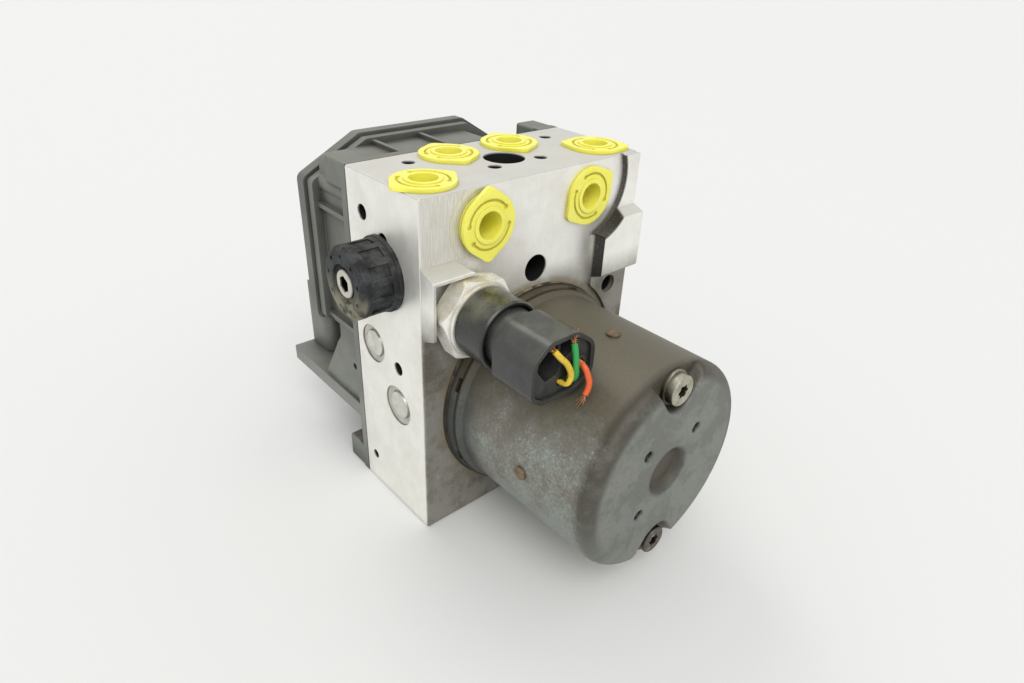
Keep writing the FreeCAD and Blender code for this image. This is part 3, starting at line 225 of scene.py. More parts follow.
def zoneMask(tree, sources, limits):
    # product of soft limits: each runs from 0 at its first value to 1 at its second
    mask = None
    for source, first, second in limits:
        edge = addNode(tree, "ShaderNodeMapRange", {"From Min": first, "From Max": second},
                       {"Value": sources[source]}).outputs[0]
        mask = edge if mask is None else addNode(tree, "ShaderNodeMath", {"operation": "MULTIPLY"},
                                                 {0: mask, 1: edge}).outputs[0]
    return mask


def paintZones(tree, tone, sources, zones):
    # each zone lays its tone over what is there, as far as its mask and its share allow
    masks = []
    for zone in zones:
        mask = zoneMask(tree, sources, zone["limits"])
        mask = addNode(tree, "ShaderNodeMath", {"operation": "MULTIPLY", 1: zone["share"]},
                       {0: mask}).outputs[0]
        tone = addNode(tree, "ShaderNodeMixRGB", {"Color2": linear(zone["tone"])},
                       {"Fac": mask, "Color1": tone}).outputs[0]
        masks.append(mask)
    return tone, masks


def finishMaterial(settings):
    # two tones in patches, a grain in tone, gloss and height, painted shade with dirt in the corners,
    # pale dust on upward faces (on some finishes partly a painted highlight) and rubbed edges; sizes are
    # in millimetres. The real grain, about a tenth of a millimetre, is too fine to show and is drawn a
    # few times coarser.
    material, tree, shader, place = startMaterial(settings["name"], {
        "Metallic": settings.get("metallic", 0.0), **settings.get("shader", {})})
    patches, grain = coarseAndFine(tree, place, settings, (("patch", 5.0, 0.62), ("grain", 3.0, 0.7)))
    patchMask = addNode(tree, "ShaderNodeMapRange", {"From Min": 0.38, "From Max": 0.64},
                        {"Value": patches})
    tone = addNode(tree, "ShaderNodeMixRGB", {"Color1": linear(settings["colour"]),
                                              "Color2": linear(settings["second"])},
                   {"Fac": patchMask.outputs[0]}).outputs[0]
    grainMask = addNode(tree, "ShaderNodeMapRange", {
        "From Min": 0.3, "From Max": 0.72, "To Min": 1 - settings["grainDepth"],
        "To Max": 1 + settings["grainDepth"]}, {"Value": grain}).outputs[0]
    tone = addNode(tree, "ShaderNodeVectorMath", {"operation": "SCALE"},
                   {"Vector": tone, "Scale": grainMask}).outputs[0]
    rounded = addNode(tree, "ShaderNodeBevel", {"samples": 4, "Radius": settings.get("edge", 0.3) * mm})
    # painted shade with dirt: darker where ambient occlusion finds corners and recesses close by
    if "cornerShadeAndDirt" in settings:
        reach = addNode(tree, "ShaderNodeAmbientOcclusion", {"samples": 6,
                                                             "Distance": settings["cornerShadeReach"] * mm})
        mask = addNode(tree, "ShaderNodeMapRange", {
            "From Min": 0.95, "From Max": 0.35, "To Max": settings["cornerShadeAndDirtDepth"]},
            {"Value": reach.outputs["AO"]}).outputs[0]
        mask = addNode(tree, "ShaderNodeMath", {"operation": "MULTIPLY"},
                       {0: mask, 1: grainMask}).outputs[0]
        tone = addNode(tree, "ShaderNodeMixRGB", {"Color2": linear(settings["cornerShadeAndDirt"])},
                       {"Fac": mask, "Color1": tone}).outputs[0]
    if "worn" in settings:
        facing = addNode(tree, "ShaderNodeNewGeometry").outputs["Normal"]
        same = addNode(tree, "ShaderNodeVectorMath", {"operation": "DOT_PRODUCT"},
                       {0: rounded.outputs[0], 1: facing}).outputs["Value"]
        mask = addNode(tree, "ShaderNodeMapRange", {
            "From Min": 0.995, "From Max": 0.9, "To Max": settings["wornDepth"]},
            {"Value": same}).outputs[0]
        mask = addNode(tree, "ShaderNodeMath", {"operation": "MULTIPLY"},
                       {0: mask, 1: patchMask.outputs[0]}).outputs[0]
        tone = addNode(tree, "ShaderNodeMixRGB", {"Color2": linear(settings["worn"])},
                       {"Fac": mask, "Color1": tone}).outputs[0]
    upward = addNode(tree, "ShaderNodeSeparateXYZ", links={
        "Vector": addNode(tree, "ShaderNodeNewGeometry").outputs["Normal"]}).outputs["Z"]
    axes = addNode(tree, "ShaderNodeSeparateXYZ", links={"Vector": place}).outputs
    sources = {"x": axes["X"], "z": axes["Z"], "up": upward, "patch": patches, "grain": grain}
    # pale dust on upward faces; on the sensor and its plated fitting it is partly a painted highlight
    if "dust" in settings:
        mask = addNode(tree, "ShaderNodeMapRange", {"From Min": 0.25, "From Max": 0.95,
                                                    "To Max": settings["dustDepth"]}, {"Value": upward})
        mask = addNode(tree, "ShaderNodeMath", {"operation": "MULTIPLY"},
                       {0: mask.outputs[0], 1: patchMask.outputs[0]}).outputs[0]
        tone = addNode(tree, "ShaderNodeMixRGB", {"Color2": linear(settings["dust"])},
                       {"Fac": mask, "Color1": tone}).outputs[0]
    tone = paintZones(tree, tone, sources, settings.get("zones", ()))[0]
    tree.links.new(tone, shader.inputs["Base Color"])
    low, high = settings["roughness"]
    gloss = addNode(tree, "ShaderNodeMapRange", {"From Min": 0.3, "From Max": 0.7, "To Min": low,
                                                 "To Max": high}, {"Value": grain}).outputs[0]
    tree.links.new(gloss, shader.inputs["Roughness"])
    bump = addNode(tree, "ShaderNodeBump", {"Strength": 0.4, "Distance": settings["height"] * mm},
                   {"Height": grain, "Normal": rounded.outputs[0]})
    tree.links.new(bump.outputs[0], shader.inputs["Normal"])
    return material


# moulded glass-filled nylon: dull mid grey, painted shade with soot in the corners, paler rubbed edges
housingPlastic = finishMaterial({
    "name": "glassFilledNylon", "colour": "#777972", "second": "#666861", "patch": 22, "grain": 0.55,
    "grainDepth": 0.10, "roughness": (0.42, 0.62), "height": 0.04, "cornerShadeAndDirt": "#262521", "cornerShadeReach": 12,
    "cornerShadeAndDirtDepth": 0.85, "worn": "#9A9B93", "wornDepth": 0.5, "edge": 0.5, "dust": "#7B7464",
    "dustDepth": 0.45, "zones": (
        # brown dirt that lies on the shelf, pale dust on the cheeks above it
        {"tone": "#4A3324", "share": 0.85, "limits": (("up", 0.7, 0.9), ("z", 0.030, 0.025),
                                                      ("x", -0.0330, -0.0400), ("patch", 0.36, 0.52))},
        {"tone": "#A3A79F", "share": 0.3, "limits": (("up", 0.5, 0.2), ("z", 0.040, 0.030),
                                                     ("z", 0.012, 0.016), ("patch", 0.34, 0.54))})})
# the same nylon from another mould: a little cleaner, with painted shade in its corners
coverPlastic = finishMaterial({
    "name": "glassFilledNylonCover", "colour": "#74766F", "second": "#5C5E58", "patch": 26, "grain": 0.6,
    "grainDepth": 0.10, "roughness": (0.4, 0.6), "height": 0.04, "cornerShadeAndDirt": "#282724", "cornerShadeReach": 9,
    "cornerShadeAndDirtDepth": 0.7, "worn": "#90918A", "wornDepth": 0.5, "edge": 0.5, "dust": "#77746A",
    "dustDepth": 0.3})
# moulded black nylon: near black with a clear gloss, painted shade in its corners, and pale dust mixed
# with a painted highlight on its upper side
sensorPlastic = finishMaterial({
    "name": "blackNylonSensor", "colour": "#2F312E", "second": "#252724", "patch": 9, "grain": 0.35,
    "grainDepth": 0.12, "roughness": (0.2, 0.36), "height": 0.02, "cornerShadeAndDirt": "#161512", "cornerShadeReach": 3,
    "cornerShadeAndDirtDepth": 0.6, "worn": "#6B6C66", "wornDepth": 0.45, "dust": "#85836A", "dustDepth": 0.6})
# moulded black nylon, handled: softer gloss, grey rubbed edges and painted shade in its corners
plugPlastic = finishMaterial({
    "name": "blackNylonPlug", "colour": "#3A3C3A", "second": "#2C2E2D", "patch": 8, "grain": 0.4,
    "grainDepth": 0.14, "roughness": (0.24, 0.4), "height": 0.025, "cornerShadeAndDirt": "#1C1B18", "cornerShadeReach": 3,
    "cornerShadeAndDirtDepth": 0.6, "worn": "#7A7B76", "wornDepth": 0.5, "dust": "#6E6C60", "dustDepth": 0.5})
# moulded black nylon, deep in the plug: painted black shade in its gaps, torn pale edges
insertPlastic = finishMaterial({
    "name": "blackNylonInsert", "colour": "#3C3E3C", "second": "#2C2E2C", "patch": 5, "grain": 0.4,
    "grainDepth": 0.2, "roughness": (0.3, 0.5), "height": 0.03, "cornerShadeAndDirt": "#080807", "cornerShadeReach": 4,
    "cornerShadeAndDirtDepth": 0.95, "worn": "#A5A399", "wornDepth": 0.7, "edge": 0.2})
# polythene transport plugs: even lemon yellow, soft gloss, a little light through thin walls, a darker
# yellow painted as shade in the corners
yellowPlastic = finishMaterial({
    "name": "polytheneYellow", "colour": "#F8F270", "second": "#F2EC56", "patch": 12, "grain": 0.5,
    "grainDepth": 0.04, "roughness": (0.33, 0.45), "height": 0.015, "cornerShadeAndDirt": "#B9AE12", "cornerShadeReach": 4,
    "cornerShadeAndDirtDepth": 0.5, "edge": 0.35,
    "shader": {"Subsurface Weight": 0.3, "Subsurface Radius": (0.004, 0.004, 0.0008),
               "Subsurface Scale": 0.6}})
# moulded natural rubber: nearly black, pale bloom on raised pads, near-black painted shade with dirt in
# the grooves
rubber = finishMaterial({
    "name": "naturalRubber", "colour": "#1D1E1F", "second": "#2A2B2C", "patch": 6, "grain": 0.3,
    "grainDepth": 0.2, "roughness": (0.5, 0.75), "height": 0.03, "cornerShadeAndDirt": "#12110E", "cornerShadeReach": 2.5,
    "cornerShadeAndDirtDepth": 0.85, "worn": "#6A6A66", "wornDepth": 0.6, "dust": "#6F6C60", "dustDepth": 0.35,
    "shader": {"Specular IOR Level": 0.3},
    "zones": (
        # blue-grey bloom on the pads, brown-grey dust low on the face
        {"tone": "#5E666C", "share": 0.5, "limits": (("grain", 0.46, 0.60), ("patch", 0.44, 0.60))},
        {"tone": "#8F8B76", "share": 0.8, "limits": (("x", -0.0600, -0.0612), ("z", 0.099, 0.089),
                                                     ("patch", 0.32, 0.54))})})
# cut rubber sheet: dull black, with brown dust that lies on it and painted shade in its corners
gasketRubber = finishMaterial({
    "name": "gasketRubber", "colour": "#26241F", "second": "#37342C", "patch": 4, "grain": 0.4,
    "grainDepth": 0.2, "roughness": (0.55, 0.8), "height": 0.03, "cornerShadeAndDirt": "#3A3428", "cornerShadeReach": 2,
    "cornerShadeAndDirtDepth": 0.4, "dust": "#857658", "dustDepth": 1.6})
# zinc plated steel: cold pale grey with a soft sheen and tiny dull spots, painted shade in its corners,
# pale dust mixed with a painted highlight on its upper faces
platedSteel = finishMaterial({
    "name": "zincPlatedSteel", "colour": "#F3F1EA", "second": "#E6E3DA", "patch": 5, "grain": 0.3,
    "grainDepth": 0.06, "metallic": 0.4, "roughness": (0.24, 0.4), "height": 0.012, "cornerShadeAndDirt": "#4A4438",
    "cornerShadeReach": 1.6, "cornerShadeAndDirtDepth": 0.5, "dust": "#C9BC82", "dustDepth": 0.7})
# zinc plated steel, screwed: a little duller, painted shade round it and its socket painted black as
# shade
studSteel = finishMaterial({
    "name": "zincPlatedStud", "colour": "#DFDCD2", "second": "#C9C5B8", "patch": 3, "grain": 0.3,
    "grainDepth": 0.1, "metallic": 0.6, "roughness": (0.28, 0.45), "height": 0.012, "cornerShadeAndDirt": "#2A2620",
    "cornerShadeReach": 2, "cornerShadeAndDirtDepth": 0.6,
    # the socket, painted black as shade
    "zones": ({"tone": "#0C0B0A", "share": 1.0, "limits": (("x", -0.0622, -0.0614),)},)})
# phosphated steel: warm dull grey, painted shade with oily dirt round the head
screwSteel = finishMaterial({
    "name": "phosphatedScrewSteel", "colour": "#B9B6A6", "second": "#9B9785", "patch": 3, "grain": 0.3,
    "grainDepth": 0.16, "metallic": 0.9, "roughness": (0.36, 0.55), "height": 0.02, "cornerShadeAndDirt": "#2F2A20",
    "cornerShadeReach": 4, "cornerShadeAndDirtDepth": 0.9,
    "zones": (
        # the lower screw, darker
        {"tone": "#3E3A30", "share": 0.8, "limits": (("z", 0.047, 0.035), ("patch", 0.28, 0.46))},)})
# tarnished steel: brown, hardly any sheen
rivetSteel = finishMaterial({
    "name": "tarnishedSteel", "colour": "#8A7A63", "second": "#6F5E49", "patch": 2, "grain": 0.3,
    "grainDepth": 0.2, "metallic": 0.7, "roughness": (0.45, 0.6), "height": 0.02})
# ground steel: even bright grey
innerSteel = finishMaterial({
    "name": "groundSteel", "colour": "#B4B3AE", "second": "#A5A49E", "patch": 6, "grain": 0.3,
    "grainDepth": 0.06, "metallic": 1.0, "roughness": (0.25, 0.35), "height": 0.01})
# turned aluminium: pale, soft sheen, painted shade with grime in the staked groove
turnedAluminium = finishMaterial({
    "name": "turnedAluminium", "colour": "#DEDDD6", "second": "#CBC9BF", "patch": 4, "grain": 0.25,
    "grainDepth": 0.08, "metallic": 1.0, "roughness": (0.34, 0.5), "height": 0.015, "cornerShadeAndDirt": "#6A6250",
    "cornerShadeReach": 2.5, "cornerShadeAndDirtDepth": 0.7})
# drawn copper wire: pink-orange glints
copper = finishMaterial({
    "name": "copperStrand", "colour": "#E2AE86", "second": "#C98256", "patch": 2, "grain": 0.3,
    "grainDepth": 0.1, "metallic": 1.0, "roughness": (0.25, 0.4), "height": 0.01})
# tin plated brass pins: pale straw with a clear sheen
brass = finishMaterial({
    "name": "tinPlatedBrass", "colour": "#CDBF95", "second": "#B9A876", "patch": 4, "grain": 0.3,
    "grainDepth": 0.05, "metallic": 1.0, "roughness": (0.25, 0.4), "height": 0.01})
# glass epoxy laminate: dark green, half gloss
laminate = finishMaterial({
    "name": "glassEpoxyLaminate", "colour": "#1E5B38", "second": "#1A5032", "patch": 8, "grain": 0.5,
    "grainDepth": 0.06, "roughness": (0.35, 0.5), "height": 0.02})
# sintered ferrite, also for carbon: dark, dry grey
ferrite = finishMaterial({
    "name": "sinteredFerrite", "colour": "#3A3A3C", "second": "#303032", "patch": 5, "grain": 0.3,
    "grainDepth": 0.1, "roughness": (0.5, 0.7), "height": 0.02})
print("plain materials made")


def milledAluminium(settings):
    # milled bar: cutter streaks along Z on the sides and along X on the top, fine spots, painted shade
    # with grime in corners and in named zones, holes painted dark with depth as shade
    material, tree, shader, place = startMaterial("milledAluminium", {})
    axes = addNode(tree, "ShaderNodeSeparateXYZ", links={"Vector": place}).outputs
    facing = addNode(tree, "ShaderNodeSeparateXYZ",
                     links={"Vector": addNode(tree, "ShaderNodeNewGeometry").outputs["Normal"]}).outputs
    up = addNode(tree, "ShaderNodeMapRange", {"From Min": 0.6, "From Max": 0.8},
                 {"Value": facing["Z"]}).outputs[0]
    stretch = addNode(tree, "ShaderNodeMixRGB", {"Color1": (1, 1, 0.05, 1), "Color2": (0.05, 1, 1, 1)},
                      {"Fac": up})
    drawn = addNode(tree, "ShaderNodeVectorMath", {"operation": "MULTIPLY"},
                    {0: place, 1: stretch.outputs[0]}).outputs[0]
    streaks = addNode(tree, "ShaderNodeTexNoise", {"Scale": 1 / (settings["streak"] * mm), "Detail": 4.0,
                                                   "Roughness": 0.65}, {"Vector": drawn}).outputs["Fac"]
    blotches, grit = coarseAndFine(tree, place, settings, (("blotch", 7.0, 0.68), ("grit", 4.0, 0.75)))
    sources = {"x": axes["X"], "y": axes["Y"], "z": axes["Z"], "left": facing["X"], "up": up,
               "blotch": blotches, "grit": grit, "streak": streaks,
               "motor": fromLine(tree, place, motorAxis),
               "mill": fromLine(tree, place, settings["millAxis"])}
    streakTone = addNode(tree, "ShaderNodeMapRange", {"From Min": 0.3, "From Max": 0.7, "To Min": 0.95,
                                                      "To Max": 1.02}, {"Value": streaks})
    tone = addNode(tree, "ShaderNodeMixRGB", {"Color1": linear(settings["colour"]),
                                              "Color2": linear(settings["second"])},
                   {"Fac": zoneMask(tree, sources, [("blotch", 0.42, 0.66)])}).outputs[0]
    tone = addNode(tree, "ShaderNodeVectorMath", {"operation": "SCALE"},
                   {"Vector": tone, "Scale": streakTone.outputs[0]}).outputs[0]
    near = addNode(tree, "ShaderNodeAmbientOcclusion", {"samples": 8,
                                                        "Distance": settings["cornerShadeReach"] * mm})
    # depth below the nearest outer face: least part of half size - |place - centre|
    centred = addNode(tree, "ShaderNodeVectorMath", {"operation": "SUBTRACT", 1: settings["centre"]},
                      {0: place})
    centred = addNode(tree, "ShaderNodeVectorMath", {"operation": "ABSOLUTE"}, {0: centred.outputs[0]})
    below = addNode(tree, "ShaderNodeVectorMath", {"operation": "SUBTRACT", 0: settings["halfSize"]},
                    {1: centred.outputs[0]}).outputs[0]
    below = addNode(tree, "ShaderNodeSeparateXYZ", links={"Vector": below}).outputs
    least = below["X"]
    for side in ("Y", "Z"):
        least = addNode(tree, "ShaderNodeMath", {"operation": "MINIMUM"},
                        {0: least, 1: below[side]}).outputs[0]
    sources["near"], sources["depth"] = near.outputs["AO"], least
    tone, masks = paintZones(tree, tone, sources, settings["zones"])
    total = masks[0]
    for mask in masks[1:]:
        total = addNode(tree, "ShaderNodeMath", {"operation": "MAXIMUM"}, {0: total, 1: mask}).outputs[0]
    tree.links.new(tone, shader.inputs["Base Color"])
    low, high = settings["roughness"]
    gloss = addNode(tree, "ShaderNodeMapRange", {"From Min": 0.3, "From Max": 0.7, "To Min": low,
                                                 "To Max": high}, {"Value": streaks}).outputs[0]
    gloss = addNode(tree, "ShaderNodeMath", {"operation": "MULTIPLY_ADD", 1: 0.3}, {0: total, 2: gloss})
    tree.links.new(gloss.outputs[0], shader.inputs["Roughness"])
    # bare metal is metallic; grime and painted shade on it are not
    clean = addNode(tree, "ShaderNodeMapRange", {"To Min": 0.72, "To Max": 0.1}, {"Value": total})
    tree.links.new(clean.outputs[0], shader.inputs["Metallic"])
    rounded = addNode(tree, "ShaderNodeBevel", {"samples": 4, "Radius": settings["edge"] * mm})
    first = addNode(tree, "ShaderNodeBump", {"Strength": 0.35, "Distance": 0.01 * mm},
                    {"Height": streaks, "Normal": rounded.outputs[0]})
    second = addNode(tree, "ShaderNodeBump", {"Strength": 0.3, "Distance": 0.02 * mm},
                     {"Height": grit, "Normal": first.outputs[0]})
    tree.links.new(second.outputs[0], shader.inputs["Normal"])
    return material


blockFinish = {
    "colour": "#F6F5EF", "second": "#EAE8E0", "streak": 0.45, "blotch": 16, "grit": 0.5, "cornerShadeReach": 5,
    "centre": (0, 0, 0.064), "halfSize": (0.048, 0.021, 0.064), "millAxis": (0.021, 0, 0.120),
    "roughness": (0.36, 0.5), "edge": 0.35,
    "zones": (
        # top face painted greyer, as shade
        {"tone": "#ADABA1", "share": 0.6, "limits": (("up", 0.0, 1.0),)},
        # fine grey spots all over
        {"tone": "#8F8B7E", "share": 0.35, "limits": (("grit", 0.60, 0.70), ("blotch", 0.35, 0.6))},
        # mottled as-sawn skin left of the front port
        {"tone": "#B5B0A0", "share": 0.55, "limits": (("y", -0.0205, -0.0211), ("x", -0.0278, -0.0292),
                                                      ("z", 0.104, 0.106), ("streak", 0.36, 0.56))},
        # painted shade below the rail, dull brown grey, with brown grime blotches over it
        {"tone": "#77746A", "share": 0.92, "limits": (("y", -0.0200, -0.0208), ("z", 0.094, 0.080),
                                                      ("streak", 0.20, 0.34))},
        {"tone": "#4C4537", "share": 0.75, "limits": (("y", -0.0200, -0.0208), ("z", 0.092, 0.076),
                                                      ("blotch", 0.44, 0.60), ("grit", 0.32, 0.52))},
        # brown deposit along the spot face over the motor
        {"tone": "#8A7A5A", "share": 0.6, "limits": (("y", -0.0200, -0.0206), ("motor", 0.0432, 0.0416),
                                                      ("blotch", 0.36, 0.56), ("grit", 0.34, 0.5))},
        # painted shade on the left-facing wall of the right stump, near black, with a dark stain
        {"tone": "#1E1A14", "share": 0.96, "limits": (("y", -0.0216, -0.0228), ("x", 0.020, 0.026),
                                                      ("left", -0.3, -0.7), ("grit", 0.25, 0.42))},
        # painted shadow with dirt along the step that the cutter left round the right port
        {"tone": "#2B251B", "share": 0.9, "limits": (("y", -0.0200, -0.0208), ("mill", 0.0188, 0.0203),
                                                     ("mill", 0.0214, 0.0208), ("x", 0.0255, 0.0280),
                                                     ("grit", 0.28, 0.42))},
        # painted shade in the corners, brownish
        {"tone": "#5C5544", "share": 0.4, "limits": (("near", 0.8, 0.25), ("grit", 0.3, 0.55))},
        # bores painted black as shade, from a little below the face
        {"tone": "#0C0B0A", "share": 1.0, "limits": (("depth", 0.0001, 0.0007),)},
    ),
}
blockMaterial = milledAluminium(blockFinish)


def weatheredCoat(settings):
    # thin brown-grey coat on zinc-plated steel, worn to blue-grey zinc low on the left and on the
    # end, white zinc corrosion along the border of the coat, stains and painted shade in named zones
    material, tree, shader, place = startMaterial("weatheredCoatedSteel", {})
    axes = addNode(tree, "ShaderNodeSeparateXYZ", links={"Vector": place}).outputs
    wide, fine = coarseAndFine(tree, place, settings, (("wide", 8.0, 0.72), ("fine", 6.0, 0.8)))
    # wear: a weighted sum of the place and the wide noise on the wall, the noise alone on the end
    wear = addNode(tree, "ShaderNodeMath", {"operation": "ADD", 1: settings["wearStart"]},
                   {0: wide}).outputs[0]
    for axis, weight in settings["wearSlope"].items():
        wear = addNode(tree, "ShaderNodeMath", {"operation": "MULTIPLY_ADD", 1: weight / mm},
                       {0: axes[axis], 2: wear}).outputs[0]
    endWear = addNode(tree, "ShaderNodeMath", {"operation": "ADD", 1: settings["endWear"]},
                      {0: wide}).outputs[0]
    end = zoneMask(tree, {"y": axes["Y"]}, [("y", *settings["end"])])
    wear = addNode(tree, "ShaderNodeMix", {"data_type": "FLOAT"}, {"Factor": end, 2: wear, 3: endWear})
    wear = addNode(tree, "ShaderNodeMath", {"operation": "MULTIPLY_ADD", 1: settings["ragged"]},
                   {0: fine, 2: wear.outputs[0]}).outputs[0]
    sources = {"y": axes["Y"], "z": axes["Z"], "axis": fromLine(tree, place, motorAxis),
               "wide": wide, "fine": fine, "wear": wear}
    bare = zoneMask(tree, sources, [("wear", *settings["zincBorder"])])
    thin = zoneMask(tree, sources, [("wear", *settings["thinBorder"])])
    tone = addNode(tree, "ShaderNodeMixRGB", {"Color1": linear(settings["coat"]),
                                              "Color2": linear(settings["thin"])},
                   {"Fac": thin}).outputs[0]
    tone = addNode(tree, "ShaderNodeMixRGB", {"Color2": linear(settings["zinc"])},
                   {"Fac": bare, "Color1": tone}).outputs[0]
    fineTone = addNode(tree, "ShaderNodeMapRange", {"From Min": 0.3, "From Max": 0.7, "To Min": 0.8,
                                                    "To Max": 1.18}, {"Value": fine}).outputs[0]
    tone = addNode(tree, "ShaderNodeVectorMath", {"operation": "SCALE"},
                   {"Vector": tone, "Scale": fineTone}).outputs[0]
    near = addNode(tree, "ShaderNodeAmbientOcclusion", {"samples": 8,
                                                        "Distance": settings["cornerShadeReach"] * mm})
    sources["near"] = near.outputs["AO"]
    tone = paintZones(tree, tone, sources, settings["zones"])[0]
    tree.links.new(tone, shader.inputs["Base Color"])
    # the bare zinc is metallic, the coat much less so
    metal = addNode(tree, "ShaderNodeMapRange", {"To Min": 0.25, "To Max": 0.55}, {"Value": bare})
    tree.links.new(metal.outputs[0], shader.inputs["Metallic"])
    gloss = addNode(tree, "ShaderNodeMapRange", {"From Min": 0.3, "From Max": 0.7, "To Min": 0.42,
                                                 "To Max": 0.62}, {"Value": fine}).outputs[0]
    tree.links.new(gloss, shader.inputs["Roughness"])
    first = addNode(tree, "ShaderNodeBump", {"Strength": 0.5, "Distance": 0.03 * mm}, {"Height": fine})
    second = addNode(tree, "ShaderNodeBump", {"Strength": 0.4, "Distance": 0.25 * mm},
                     {"Height": wide, "Normal": first.outputs[0]})
    tree.links.new(second.outputs[0], shader.inputs["Normal"])
    return material


canFinish = {
    "coat": "#645F50", "thin": "#74726A", "zinc": "#8E958F", "wide": 14, "fine": 0.9, "ragged": 0.16,
    "wearStart": -0.38, "wearSlope": {"X": -0.0132, "Y": -0.0020, "Z": -0.0048}, "endWear": 0.10,
    "thinBorder": (0.36, 0.54), "zincBorder": (0.55, 0.70), "end": (-0.0845, -0.0872), "cornerShadeReach": 5,
    "zones": (
        # white corrosion where the coat gives way
        {"tone": "#C4C2B0", "share": 0.55, "limits": (("wear", 0.48, 0.58), ("wear", 0.80, 0.66),
                                                      ("fine", 0.54, 0.66), ("y", -0.0865, -0.0850))},
        # dark specks in the bare zinc
        {"tone": "#4C4A42", "share": 0.6, "limits": (("wear", 0.58, 0.72), ("fine", 0.44, 0.34))},
        # blue-black band beside the flange, brown over the top of it
        {"tone": "#363C3B", "share": 0.75, "limits": (("y", -0.0380, -0.0290), ("z", 0.075, 0.055))},
        {"tone": "#4A3F2D", "share": 0.7, "limits": (("y", -0.0350, -0.0240), ("z", 0.060, 0.075),
                                                     ("fine", 0.3, 0.55))},
        # dark brown band on the rounded rim of the end
        {"tone": "#37322A", "share": 0.8, "limits": (("y", -0.0805, -0.0835), ("axis", 0.0318, 0.0344),
                                                     ("wide", 0.70, 0.50), ("z", 0.022, 0.046))},
        # brown stain across the middle of the end
        {"tone": "#57544A", "share": 0.6, "limits": (("y", -0.0830, -0.0850), ("wide", 0.40, 0.56))},
        # painted shade with grime in the corners and the dish; the drain holes painted black as shade
        {"tone": "#2C2820", "share": 0.75, "limits": (("near", 0.85, 0.3),)},
        {"tone": "#2F2C26", "share": 0.55, "limits": (("axis", 0.0100, 0.0086), ("y", -0.080, -0.082))},
        {"tone": "#0E0D0C", "share": 1.0, "limits": (("y", -0.0871, -0.0864), ("axis", 0.0134, 0.0142),
                                                     ("axis", 0.0206, 0.0198), ("y", -0.0820, -0.0840))},
    ),
}
canMaterial = weatheredCoat(canFinish)
print("block and motor finishes made")


# CAD nodes keep their shape and get their finish here; edges sharper than the crease stay sharp

dressSettings = {"weldGap": 0.002, "crease": 32}


def dressNode(name, material, settings):
    piece = nodes[name]
    mesh = piece.data
    mesh.materials.clear()
    mesh.materials.append(material)
    mesh.polygons.foreach_set("use_smooth", np.ones(len(mesh.polygons), bool))
    own = mesh.attributes.get("custom_normal")
    if own:
        mesh.attributes.remove(own)
    weld = piece.modifiers.new("weld", "WELD")
    weld.merge_threshold = settings["weldGap"] * mm
    split = piece.modifiers.new("split", "EDGE_SPLIT")
    split.split_angle = math.radians(settings["crease"])


dress = {
    "valve_block": blockMaterial,
    "pump_plugs": turnedAluminium, "damper_plugs": turnedAluminium, "accumulator_caps": turnedAluminium,
    "accumulator_piston_left": turnedAluminium, "accumulator_piston_right": turnedAluminium,
    "controller_housing": housingPlastic, "controller_cover": coverPlastic,
    "cover_seal": gasketRubber, "sensor_seal": gasketRubber, "motor_gasket": gasketRubber,
    "circuit_board": laminate, "connector_pins": brass, "controller_screws": screwSteel,
    "motor_screws": screwSteel, "motor_flange": canMaterial, "can_rivets": rivetSteel,
    "motor_magnets": ferrite, "brush_plate": coverPlastic, "carbon_brushes": ferrite,
    "armature_winding": copper, "commutator": copper, "solenoid_coils": sensorPlastic,
    "bush_rubber": rubber, "bush_stud": studSteel, "sensor_fitting": platedSteel,
    "sensor_body": sensorPlastic, "sensor_plug": plugPlastic, "plug_insert": insertPlastic,
}
for name in nodes:
    if name.startswith(("top_plug", "front_plug")):
        dress[name] = yellowPlastic
    dressNode(name, dress.get(name, innerSteel), dressSettings)
print("CAD nodes dressed")


# motor can: one pressed shell, outside and inside

canShape = {
    "axisHeight": 47.0, "radius": 37.5, "openEnd": -25.5, "foot": 1.5, "footLength": (0.9, 2.8),
    "fitting": (-31.8, 41.2, 15.0), "endPlane": -87.5, "edge": 5.0, "wall": 2.0,
    "screwOut": 31.0, "pocketRadius": 6.6, "pocketDepth": 4.2, "flare": 35.0,
    "pocketLip": (-0.25, 1.15), "footRoom": (0.8, 3.5),
    "dishRadius": 9.4, "dishFloor": 6.0, "dishDepth": 2.8, "dishReach": 12,
    "drains": ((-12, -12), (-12, 12), (12, 12)), "drainRadius": 2.0, "drainLip": (-0.35, 0.1),
    "drainDepth": 1.9,
    # rings of the mesh: (from, to, how many) over the end, round its edge and along the wall
    "endRings": ((0, 12, 40), (12.3, 21, 26)), "rimRings": (21.4, 34), "edgeRings": 16,
    "wallRings": ((0.4, 9, 6), (11, 3, 12), (2.8, 0, 10)), "columns": 340,
}


